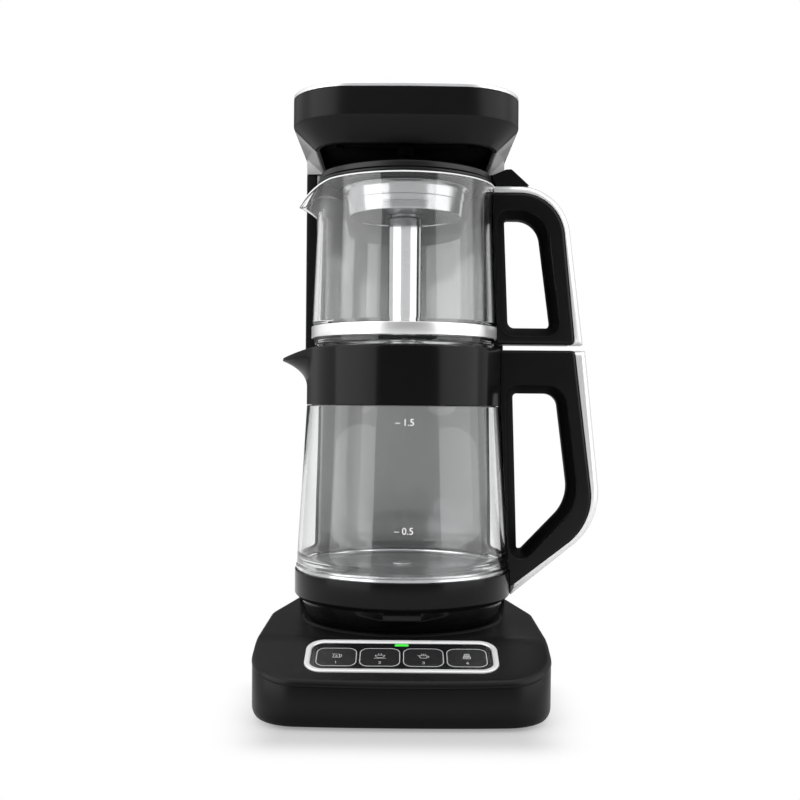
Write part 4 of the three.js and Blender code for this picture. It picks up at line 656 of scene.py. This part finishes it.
def flat_rings(line, *steps):
    """Rings at one level each, drawn in by a distance: pairs of how far in and how high."""
    return [level_ring(drawn_in(line, inset), lambda y, height=level: height) for inset, level in steps]


def box_line(half, front, back, front_round=0, back_round=0):
    """A rectangle seen from above."""
    return soft_corners([(-half, front, front_round), (half, front, front_round), (half, back, back_round),
                         (-half, back, back_round)], 10)


slope_share = band_inset / (head_crease - head_low)
shell_section = (
    (band_inset, head_low), (0.9 * slope_share, head_crease - 0.9), (0.3, head_crease - 0.15),
    (0.08, head_crease + 0.35), (0, head_crease + 0.9), (0, head_top - 0.4), (0.35, head_top),
    (head_wall, head_top), (head_wall, head_crease), (head_wall + 9.2 * slope_share, head_crease - 9.2),
    (head_wall + band_inset, head_low))
shell = skinned("head_housing_moulding", flat_rings(head_plan, *shell_section), angle=24)
neck_room_rings = flat_rings(box_line(neck_half + 2, neck_front, head_back + 2),
                             (0, head_low - 2), (0, head_crease - hair))
neck_room = skinned("neck_room", neck_room_rings, False)
trim_front, trim_back, trim_low, trim_high = -24.3, 56, head_low - 1, head_crease - 0.3
trim_section = ((trim_low, -0.4), (trim_high, -0.4), (trim_high, 1.8), (trim_low, 1.8))
trims = []
for side in (-1, 1):
    corners = [(side * (head_half - slope_share * (head_crease - level) - depth), level)
               for level, depth in trim_section]
    ends = [[(x, y, level) for x, level in corners] for y in (trim_front, trim_back)]
    trims.append(skinned("trim_room", ends, False))
place(carved(shell, neck_room, *trims), black_satin, "root", "black", "head_housing")
neck_line = box_line(neck_half, neck_front, head_back, 1.5, back_corner)
neck_rings = flat_rings(neck_line, (0, head_low + hair), (0, head_crease + head_wall))
place(skinned("head_neck", neck_rings, False), black_satin, "root", "black")
rim_silver = metal("rim_silver", (0.74, 0.745, 0.75), 0.3, 0.04, (30, 30, 30), 0.004, 0.5)
rim_section = [(0, head_top + hair), (0, head_top + rim_height, 1.4),
               (rim_band, head_top + rim_height - 0.1, 0.5), (rim_band, head_top + hair)]
rim_ring = skinned("head_rim_ring", flat_rings(head_plan, *soft_corners(rim_section, 6)))
place(rim_ring, rim_silver, "root", "chrome", "head_rim")
cover_section = ((0, head_top + hair), (0, head_top + 2.3), (0.3, head_top + 2.6), (1.1, head_top + 2.9),
                 (5, head_top + 3.3), (9, head_top + 3.5))
cover_rings = flat_rings(drawn_in(head_plan, rim_band + hair), *cover_section)
head_cover = skinned("head_cover_moulding", cover_rings, False, 50, strips=True)
place(head_cover, black_satin, "root", "black", "head_top_cover")
for side in ("left", "right"):
    softened("head_side_trim_" + side, pale_trim, "silver", 0.0003)
# The underside, its two screws and the nozzle share one near-black, dull material, darker than the housing:
# painted shade, because they lie in the head's own shadow.
shadow_black = plastic("shadow_black", (0.0012, 0.0012, 0.0012), (0.002, 0.002, 0.002), 0.6, gloss=0.05)
softened("head_underside", shadow_black, "black", 0.0006)
for side in ("left", "right"):
    softened("underside_screw_" + side, shadow_black, "steel", 0.0002)
softened("nozzle", shadow_black, "dark", 0.0005)

# The kettle's ring: a round black moulding that grips the foot of the glass. Its outer edges are rounded in
# the mould, and its satin is finer than the base's.
ring_satin = plastic("ring_satin", (0.0042, 0.0042, 0.0044), (0.0062, 0.0062, 0.0065), 0.15, bump=0.01,
                     spread=0.03, gloss=0.13)
ring_section = [(71.8, 62.3, 0.4), (74, 62.3, 1.2), (77, 65.3, 1.6), (77, 82.3, 0.7), (71.8, 82.3, 0.5)]
place(turned("kettle_ring_moulding", ring_section), ring_satin, "kettle", "black", "kettle_ring")

# The foot below it narrows to the seat and is glossier, because it is polished where it turns in the seat
# ring. A lug in front locates it. The socket, the valve, the floor plate and the element close the bottom.
foot_gloss = plastic("foot_gloss", (0.002, 0.002, 0.0021), (0.003, 0.003, 0.0031), 0.14, bump=0.01,
                     spread=0.04, gloss=0.22)
softened("kettle_foot", foot_gloss, "black", 0.0004)
plate_steel = metal("plate_steel", (0.5, 0.505, 0.51), 0.2, 0.05, (900, 900, 900), 0.02)
disc_section = [(4.3, 80.9), (23.7, 80.9), (71, 82.5), (71, 84, 0.3), (70.1, 84, 0.2), (69.9, 85.5, 0.7),
                (68.1, 85.5, 0.7), (67.8, 84, 0.5), (62.6, 83.7, 0.5), (61.8, 83, 0.5), (23.7, 82.4, 8),
                (4.3, 82.4, 0.3)]
disc = turned("kettle_floor_disc", disc_section, 192, 5)
place(disc, plate_steel, "kettle", "steel", "kettle_floor_plate")
softened("heating_element", brushed, "steel", 0.0)
softened("kettle_socket", dark_satin, "dark", 0.0004)
softened("outlet_poppet", brushed, "steel", 0.0002)


# The glass of both pots: blown borosilicate with fire-polished edges, so it is clear and almost without
# colour. The kettle's wall thickens to a rounded bead at its foot.
def clear_glass(name):
    """Clear glass with a faint smear that dulls it a little in places."""
    material, tree, shader = new_material(name)
    smear = wired(tree, "ShaderNodeTexNoise", {"Vector": place_in(tree), "Scale": 14.0, "Detail": 5})
    filled(shader, {"Base Color": (0.99, 0.994, 0.994, 1), "Transmission Weight": 1.0, "IOR": 1.45,
                    "Roughness": ramp(tree, smear.outputs["Fac"], 0.5, 0.8, 0.0, 0.02)})
    return material


pot_glass = clear_glass("pot_glass")
wall_section = [(71.4, 82.6, 0.4), (76.2, 82.6, 0.7), (76.2, 85.2, 0.9), (75.5, 86, 0.6), (75.4, 92, 10),
                (72.6, 140, 60), (69.4, 198, 0.6), (67.1, 198, 0.6), (70.3, 140, 60), (73.2, 93, 8),
                (70.4, 87.5, 2), (70.6, 84.5, 0.8), (71.4, 84.3)]
place(turned("kettle_glass_wall", wall_section, 192, 6), pot_glass, "kettle", "glass", "kettle_glass")


# Two white level marks are printed on the front of the glass: a dash and a plain number of litres. The print
# is drawn flat and then bent round the glass.
def on_glass(name, words, size, start_x, level, radius, stand=0.08):
    """Printed words bent round the glass at a level, in millimetres."""
    font = bpy.data.curves.new(name, "FONT")
    font.body = words
    font.size = size / 1000
    font.align_x = "LEFT"
    font.align_y = "CENTER"
    font.offset = 0.00003
    carrier = linked(name, font)
    mesh = finished_mesh(carrier)
    bpy.data.objects.remove(carrier)
    reach = (radius + stand) / 1000
    for vertex in mesh.vertices:
        turn, up = (vertex.co.x + start_x / 1000) / reach, level / 1000 + vertex.co.y
        vertex.co = (pots_x + reach * math.sin(turn), pots_y - reach * math.cos(turn), up)
    return linked(name, mesh)


white_print = plastic("white_print", (0.8, 0.8, 0.8), (0.9, 0.9, 0.9), 0.5, bump=0.02)
for tag, words, level, radius in (("upper", "– 1.5", 187, 70.2), ("lower", "– 0.5", 116, 74.2)):
    place(on_glass("level_mark_" + tag, words, 6.4, -5.6, level, radius), white_print, "kettle", "glass")


# The collar is a black moulding that grips the neck of the kettle's glass. Its beak swells out of the left
# side and droops at its tip, and a ledge inside, open behind the beak, carries the teapot's seal.
collar_radius, collar_low, collar_top, collar_wall, collar_round = 69.6, 198.3, 238.6, 2.6, 0.9
beak_reach, beak_low, beak_tip, beak_half, beak_sharpness, tip_droop = 17.6, 211, 231.8, 25, 1.5, 0.35
ledge_inner, ledge_level, ledge_wall = 58, 232.6, 3


def lip_share(angle, half, sharpness, blunt=1.6):
    """How far a lip is drawn out in one direction: 0 beside it, 1 at its tip, which points to the left."""
    away = math.hypot(angle - 180, blunt) - blunt
    return max(0, 1 - away / (math.hypot(half, blunt) - blunt)) ** sharpness


def jug_ring(radius, level, reach, droop, half, sharpness, sides=288):
    """A ring round a jug, drawn out and let down where its lip is."""
    ring = []
    for i in range(sides):
        share = lip_share(360 * i / sides, half, sharpness)
        turn, out = full_turn * i / sides, radius + share * reach
        ring.append((out * math.cos(turn), out * math.sin(turn), level - share * droop))
    return ring


def collar_ring(level, drawn, droop_share=0):
    """A ring of the collar, whose beak grows out towards its tip."""
    climb = min(max((level - beak_low) / (beak_tip - beak_low), 0), 1) ** 2
    return jug_ring(collar_radius - drawn, level, beak_reach * climb, droop_share * (collar_top - beak_tip),
                    beak_half, beak_sharpness)


beak_levels = [(beak_low + (beak_tip - beak_low) * t, tip_droop * t ** 3)
               for t in (i / 12 for i in range(13))]
top_levels = [(beak_tip + (collar_top - collar_round - beak_tip) * t, tip_droop + (1 - tip_droop) * t)
              for t in (0.33, 0.66, 1)]
outer = [collar_ring(collar_low, 0.4), collar_ring(collar_low + 0.4, 0)]
outer += [collar_ring(level, 0, droop) for level, droop in beak_levels + top_levels]
rim = [collar_ring(collar_top - collar_round * (1 - math.sin(turn)), collar_round * (1 - math.cos(turn)), 1)
       for turn in map(math.radians, (30, 60, 90))]
inner = [collar_ring(level, collar_wall, droop) for level, droop in reversed(beak_levels + top_levels)]
inner += [collar_ring(collar_low, collar_wall)]
place(skinned("kettle_collar_moulding", outer + rim + inner), ring_satin, "kettle", "black", "kettle_collar")
ledge_root = collar_radius - collar_wall / 2
ledge = turned("kettle_collar_ledge", [(ledge_inner, ledge_level - ledge_wall), (ledge_root, ledge_level - 9),
                                       (ledge_root, ledge_level), (ledge_inner, ledge_level, 0.5)])
notch_half = ledge_inner * math.sin(math.radians(beak_half))
notch_corners = ((-140, -notch_half), (-29, -notch_half), (-29, notch_half), (-140, notch_half))
notch = skinned("notch", [[(x, y, level) for x, y in notch_corners] for level in (200, 240)], False)
place(carved(ledge, notch), black_satin, "kettle", "black")


# The two loop handles: black mouldings with rounded edges and a flared finger opening, each hugging its pot,
# with a chromed strip along the outside.
def outlined(shares, inner, reach, foot, top, steps=18):
    """A handle's line in the front view, from shares of its reach and height and radii in millimetres."""
    return soft_corners([(inner + across * (reach - inner), foot + up * (top - foot), *radius)
                         for across, up, *radius in shares], steps)


def fronted(name, layers, wrap=False, angle=32):
    """A skin over lines drawn in the front view, each at its own depth."""
    rings = [[(point.x, depth, point.y) for point in line] for line, depth in layers]
    return skinned(name, rings, wrap, angle)


def rolled(line, half, edge, steps):
    """The layers of a bar with rounded front and back edges."""
    turns = [math.radians(90 * i / steps) for i in range(steps + 1)]
    front = [(drawn_in(line, edge * (1 - math.sin(turn)) + 0.001), edge * (1 - math.cos(turn)) - half)
             for turn in turns]
    return front + [(edge_line, -depth) for edge_line, depth in reversed(front)]


handle_half, handle_edge, flare, strip_half, strip_edge = 12, 2.4, 6, 11, 4.6


def loop_handle(name, edge, window, outside):
    """A handle cut to its pot, with an opening that flares to the front and the back."""
    flared = ((-flare - 2, -handle_half - 2), (-0.3, 0.6 - flare), (0, 1.4 - flare), (0, flare - 1.4),
              (-0.3, flare - 0.6), (-flare - 2, handle_half + 2))
    hole = fronted("opening", [(drawn_in(window, inset), depth) for inset, depth in flared])
    return carved(fronted(name, rolled(edge, handle_half, handle_edge, 5)), hole,
                  turned("pot", outside, 192, wrap=False))


def shade_lining(name, window, wall=0.9):
    """A thin sheet of dull near-black that stands a little proud of the finger opening's flared wall: painted
    shade inside the opening.
    """
    proud = [(-5.3, -11.2), (-0.1, 0.6 - flare), (0.2, 1.4 - flare), (0.2, flare - 1.4), (-0.1, flare - 0.6),
             (-5.3, 11.2)]
    layers = proud + [(inset - wall, depth) for inset, depth in reversed(proud)]
    return fronted(name, [(drawn_in(window, inset), depth) for inset, depth in layers], True, 40)


def handle_strip(name, line, edge, outside):
    """A strip that stands out past the handle's edge, cut to its pot."""
    room = fronted("room", [(drawn_in(edge, -hair), depth) for depth in (-20, 20)])
    return carved(fronted(name, rolled(line, strip_half, strip_edge, 7)), room,
                  turned("pot", outside, 192, wrap=False))


strip_silver = metal("strip_silver", (0.8, 0.8, 0.805), 0.2, 0.04, (30, 30, 30), 0.004, 0.45)
# The sheet in each finger opening is darker and duller than the handle: painted shade.
opening_shade_black = plastic("opening_shade_black", (0.0015, 0.0015, 0.0016), (0.0025, 0.0025, 0.0026), 0.5, bump=0.02,
                       gloss=0.06)
kettle_outside = [(0, 0), (77.3, 0), (77.3, 82.6), (76.1, 82.6), (76.1, 86.2), (69.9, 198.3), (69.9, 480),
                  (0, 480)]
kettle_lines = ([(0, 0), (1, 0.306, 42), (0.785, 1, 3), (0, 1)],
                [(0.218, 0.168, 2.8), (0.756, 0.391, 30), (0.618, 0.827, 10), (0.164, 0.827, 3)],
                [(0.13, 0), (1.08, 0.306, 47), (0.899, 1), (0.6, 1)])
teapot_outside = [(0, 0), (66.9, 0), (66.9, 254.3), (63.1, 338), (64.1, 354.7), (64.1, 700), (0, 700)]
teapot_lines = ([(0, 0), (1, 0, 3), (0.822, 1, 32), (0, 1)],
                [(0.224, 0.109, 5), (0.736, 0.109, 3.6), (0.568, 0.833, 17), (0.17, 0.833, 3)],
                [(0.5, 0), (1.101, 0), (0.877, 1.051, 37), (0, 1.051), (0, 0.5)])
for pot, outside, lines, size in (("kettle", kettle_outside, kettle_lines, (66, 136.1, 62.3, 238.3)),
                                  ("teapot", teapot_outside, teapot_lines, (60, 121.1, 242.4, 350))):
    edge, window, strip = [outlined(shares, *size) for shares in lines]
    handle = loop_handle(pot + "_handle_moulding", edge, window, outside)
    place(handle, black_satin, pot, "black", pot + "_handle")
    place(shade_lining(pot + "_shade_lining", window), opening_shade_black, pot, "black")
    bright_strip = handle_strip(pot + "_handle_bright_strip", strip, edge, outside)
    place(bright_strip, strip_silver, pot, "chrome", pot + "_handle_strip")


# The teapot is a glass cup in a thin steel band, on a soft seal. Its rim is drawn out into a lip that pours
# to the left, and the fire-polished edge is round.
softened("teapot_seal", foot_rubber, "rubber", 0.0004)
rim_level, neck_level, neck_radius, rim_radius, pot_wall = 354.7, 338, 62.8, 63.8, 2.4
lip_reach, lip_droop, lip_half, lip_sharpness, neck_droop = 12.4, 13.6, 38, 1.7, 0.6
rim_round, neck_foot = pot_wall / 2, (neck_radius, neck_level - 4)


def pot_ring(radius, level, reach_share=0.0, droop_share=0.0):
    """A ring of the teapot's glass, with a share of its lip's reach and droop."""
    return jug_ring(radius, level, lip_reach * reach_share, lip_droop * droop_share, lip_half, lip_sharpness)


throat = [(neck_radius + (rim_radius - neck_radius) * t ** 2,
           neck_level + (rim_level - rim_round - neck_level) * t,
           t ** 1.4, neck_droop + (1 - neck_droop) * t) for t in (i / 10 for i in range(11))]
bead = [(rim_radius - rim_round * (1 - math.cos(turn)),
         rim_level - rim_round + rim_round * math.sin(turn), 1, 1)
        for turn in (math.radians(15 * i) for i in range(1, 12))]
cup_section = [(12.6, 237.5), (59, 237.5, 1.5), (64.5, 241.4, 2), (64.5, 254.3, 0.3), (66, 256.4, 1.4),
               neck_foot, (neck_radius - pot_wall, neck_foot[1]), (63.2, 256.4, 2), (61.6, 246, 4),
               (56, 241.6, 2), (12.6, 241.6)]
body_line = soft_corners(cup_section, 5)
split = min(range(len(body_line)), key=lambda i: (body_line[i] - Vector(neck_foot)).length)
pot_rings = [pot_ring(point.x, point.y) for point in body_line[:split + 1]]
pot_rings += [pot_ring(*ring) for ring in throat + bead]
pot_rings += [pot_ring(radius - pot_wall, *rest) for radius, *rest in reversed(throat)]
pot_rings += [pot_ring(point.x, point.y) for point in body_line[split + 1:]]
place(skinned("teapot_glass_cup", pot_rings, angle=50), pot_glass, "teapot", "glass", "teapot_glass")
# A thin ring of glossy near-white plastic round the outside of the rim is a painted highlight: the bright
# line that the glass rim catches.
rim_highlight_white = plastic("painted_rim_highlight", (0.86, 0.87, 0.87), (0.92, 0.93, 0.93), 0.1, bump=0.0, gloss=0.8)
rim_line = [(rim_radius + 0.5 * math.cos(turn), rim_level - 1 + 0.5 * math.sin(turn), 1, 1)
            for turn in (full_turn * i / 12 for i in range(12))]
place(skinned("teapot_rim_highlight", [pot_ring(*ring) for ring in rim_line]), rim_highlight_white, "teapot", "glass")
band_steel = metal("band_steel", (0.9, 0.9, 0.905), 0.3, 0.05, (60, 60, 2600), 0.01, 0.8)
band = turned("teapot_steel_band", [(65.4, 245.6), (66.6, 245.6, 0.5), (66.6, 254, 0.5), (65.4, 254)])
place(band, band_steel, "teapot", "chrome", "teapot_band")

# The riser is a drawn steel tube through the teapot's floor. It carries the infuser, a spun steel cup with a
# rolled lip, a fine groove round the wall and a duller floor set in above the bottom edge.
riser_steel = metal("riser_steel", (0.56, 0.565, 0.57), 0.15, 0.04, (60, 60, 2600), 0.01)
tube_section = [(9.4, 237.4), (12.2, 237.4), (12.2, 241.7), (24, 241.7, 0.3), (24, 242.9, 0.4),
                (12.2, 245.5, 3), (12.2, 331.5, 0.8), (10.6, 332.7, 0.6), (10.6, 336.5, 0.3), (9.4, 336.5)]
place(turned("riser_tube_drawn", tube_section), riser_steel, "teapot", "steel", "riser_tube")
cup_floor, cup_top, cup_radius, cup_lip, cup_hub = 333, 353.4, 40.6, 45, 10.9
cup = turned("infuser_cup_spun", [
    (cup_radius - 1.2, cup_floor, 0.3), (cup_radius, cup_floor, 0.5), (41.6, cup_floor + 10.2, 0.2),
    (42, cup_floor + 10.5, 0.2), (42.8, cup_top - 3, 2), (44.6, cup_top - 1.2, 0.6),
    (cup_lip, cup_top - 1.1, 0.4), (cup_lip, cup_top, 0.5), (43.4, cup_top, 0.6), (41.8, cup_top - 3.2, 1.5),
    (40.9, cup_floor + 10.4, 0.5), (cup_radius - 1.2, cup_floor + 2, 0.4)])
floor_disc = turned("infuser_floor_disc", [
    (cup_hub, cup_floor + 0.8), (cup_radius - 1.3, cup_floor + 0.8), (cup_radius - 1.3, cup_floor + 1.8, 0.2),
    (12.1, cup_floor + 1.8, 0.5), (12.1, 343), (cup_hub, 343)])
cup_steel = metal("cup_steel", (0.4, 0.404, 0.408), 0.2, 0.05, (60, 60, 3200), 0.02)
floor_steel = metal("floor_steel", (0.2, 0.203, 0.206), 0.34, 0.06, (900, 900, 900), 0.02)


# The floor is pierced all over and the wall in a fine patch in front. A Geometry Nodes tree lays out a pin
# for each hole in staggered rows, flat between two radii or rolled up round the axis, and they cut the steel.
def pin_tree(name, rolled_up):
    """The tree, and the identifiers of its size inputs by name."""
    tree = bpy.data.node_groups.new(name, "GeometryNodeTree")
    tree.interface.new_socket("Pins", in_out="OUTPUT", socket_type="NodeSocketGeometry")
    sizes = {}
    for title in ("Columns", "Rows", "Across", "Up", "Level", "Inner Radius", "Outer Radius", "Pin Radius"):
        kind = "NodeSocketInt" if title in ("Columns", "Rows") else "NodeSocketFloat"
        sizes[title] = tree.interface.new_socket(title, in_out="INPUT", socket_type=kind).identifier
    given = tree.nodes.new("NodeGroupInput").outputs
    inputs = {}
    for axis, count, step in (("X", "Columns", "Across"), ("Y", "Rows", "Up")):
        gaps = math_node(tree, "SUBTRACT", given[count], 1)
        inputs["Vertices " + axis] = given[count]
        inputs["Size " + axis] = math_node(tree, "MULTIPLY", gaps, given[step])
    grid = wired(tree, "GeometryNodeMeshGrid", inputs)
    row = math_node(tree, "MODULO", tree.nodes.new("GeometryNodeInputIndex").outputs[0], given["Rows"])
    half_step = math_node(tree, "DIVIDE", given["Across"], 2)
    shift = math_node(tree, "MULTIPLY", math_node(tree, "MODULO", row, 2), half_step)
    flat = parts_of(tree, tree.nodes.new("GeometryNodeInputPosition").outputs[0])
    across = math_node(tree, "ADD", flat["X"], shift)
    aim = {}
    spot = {"X": across, "Y": flat["Y"], "Z": given["Level"]}
    if rolled_up:
        turn = math_node(tree, "DIVIDE", across, given["Outer Radius"])
        frontward = math_node(tree, "MULTIPLY", math_node(tree, "COSINE", turn), -1)
        outward = {"X": math_node(tree, "SINE", turn), "Y": frontward}
        spot = {axis: math_node(tree, "MULTIPLY", part, given["Outer Radius"])
                for axis, part in outward.items()}
        spot["Z"] = math_node(tree, "ADD", flat["Y"], given["Level"])
        facing = wired(tree, "ShaderNodeCombineXYZ", outward).outputs[0]
        aim["Rotation"] = wired(tree, "FunctionNodeAlignRotationToVector", {"Vector": facing}).outputs[0]
    spots = wired(tree, "ShaderNodeCombineXYZ", spot).outputs[0]
    inputs = {"Geometry": grid.outputs["Mesh"], "Position": spots}
    placed = wired(tree, "GeometryNodeSetPosition", inputs).outputs[0]
    if not rolled_up:
        here = parts_of(tree, tree.nodes.new("GeometryNodeInputPosition").outputs[0])
        squares = [math_node(tree, "MULTIPLY", here[axis], here[axis]) for axis in "XY"]
        radius = math_node(tree, "SQRT", math_node(tree, "ADD", *squares))
        outside = math_node(tree, "ADD", math_node(tree, "LESS_THAN", radius, given["Inner Radius"]),
                            math_node(tree, "GREATER_THAN", radius, given["Outer Radius"]))
        inputs = {"Geometry": placed, "Selection": outside}
        placed = wired(tree, "GeometryNodeDeleteGeometry", inputs).outputs[0]
    inputs = {"Vertices": 8, "Depth": 0.006, "Radius": given["Pin Radius"]}
    pin = wired(tree, "GeometryNodeMeshCylinder", inputs)
    inputs = {"Points": placed, "Instance": pin.outputs["Mesh"], **aim}
    pins = wired(tree, "GeometryNodeInstanceOnPoints", inputs)
    real = wired(tree, "GeometryNodeRealizeInstances", {0: pins.outputs[0]})
    steel = wired(tree, "GeometryNodeSetMaterial", {"Geometry": real.outputs[0], "Material": cup_steel})
    wired(tree, "NodeGroupOutput", {0: steel.outputs[0]})
    return tree, sizes


def pins_on_axis(name, rolled_up, **values):
    """A plain mesh of all the pins, round the pots' axis."""
    tree, sizes = pin_tree(name, rolled_up)
    carrier = linked(name, bpy.data.meshes.new(name))
    drill = carrier.modifiers.new(name, "NODES")
    drill.node_group = tree
    for title, value in values.items():
        drill[sizes[title.replace("_", " ").title()]] = value
    mesh = finished_mesh(carrier)
    bpy.data.objects.remove(carrier)
    mesh.transform(Matrix.Translation((pots_x, pots_y, 0)))
    return linked(name, mesh)


floor_pins = pins_on_axis("floor_pins", False, columns=27, rows=31, across=0.003, up=0.0026, level=0.3343,
                          inner_radius=0.0145, outer_radius=0.0375, pin_radius=0.00075)
wall_pins = pins_on_axis("wall_pins", True, columns=24, rows=5, across=0.0013, up=0.001, level=0.3369,
                         outer_radius=0.0404, pin_radius=0.00036)
place(carved(cup, wall_pins), cup_steel, "teapot", "steel", "infuser_cup")
place(carved(floor_disc, floor_pins), floor_steel, "teapot", "steel")

# The lid: a dished black moulding over a dark groove, with a plug in the mouth, a funnel in the middle under
# the nozzle, and a fin for the thumb over the handle.
lid_black = plastic("lid_black", (0.006, 0.006, 0.0062), (0.009, 0.009, 0.0093), 0.34, gloss=0.3)
lid_section = [(6, 349.3), (8.6, 349.3), (8.6, 353.7, 0.8), (14, 356.7, 1.5), (53.4, 356.7, 0.8),
               (58.6, 350.6, 0.6), (58.6, 355), (62.9, 355, 0.4), (62.9, 356.7, 0.6), (60, 357), (60, 357.3),
               (61.4, 357.9, 0.4), (61.4, 362, 1.2), (53.6, 362, 1.5), (48.4, 359, 1.5), (14, 359, 3),
               (6, 356, 0.5)]
place(turned("lid_disc", lid_section, 192, 5), lid_black, "lid_body", "dark", "lid")
softened("lid_seal", foot_rubber, "rubber", 0.0002)
softened("lid_thumb_tab", black_satin, "black", 0.0008, 3)
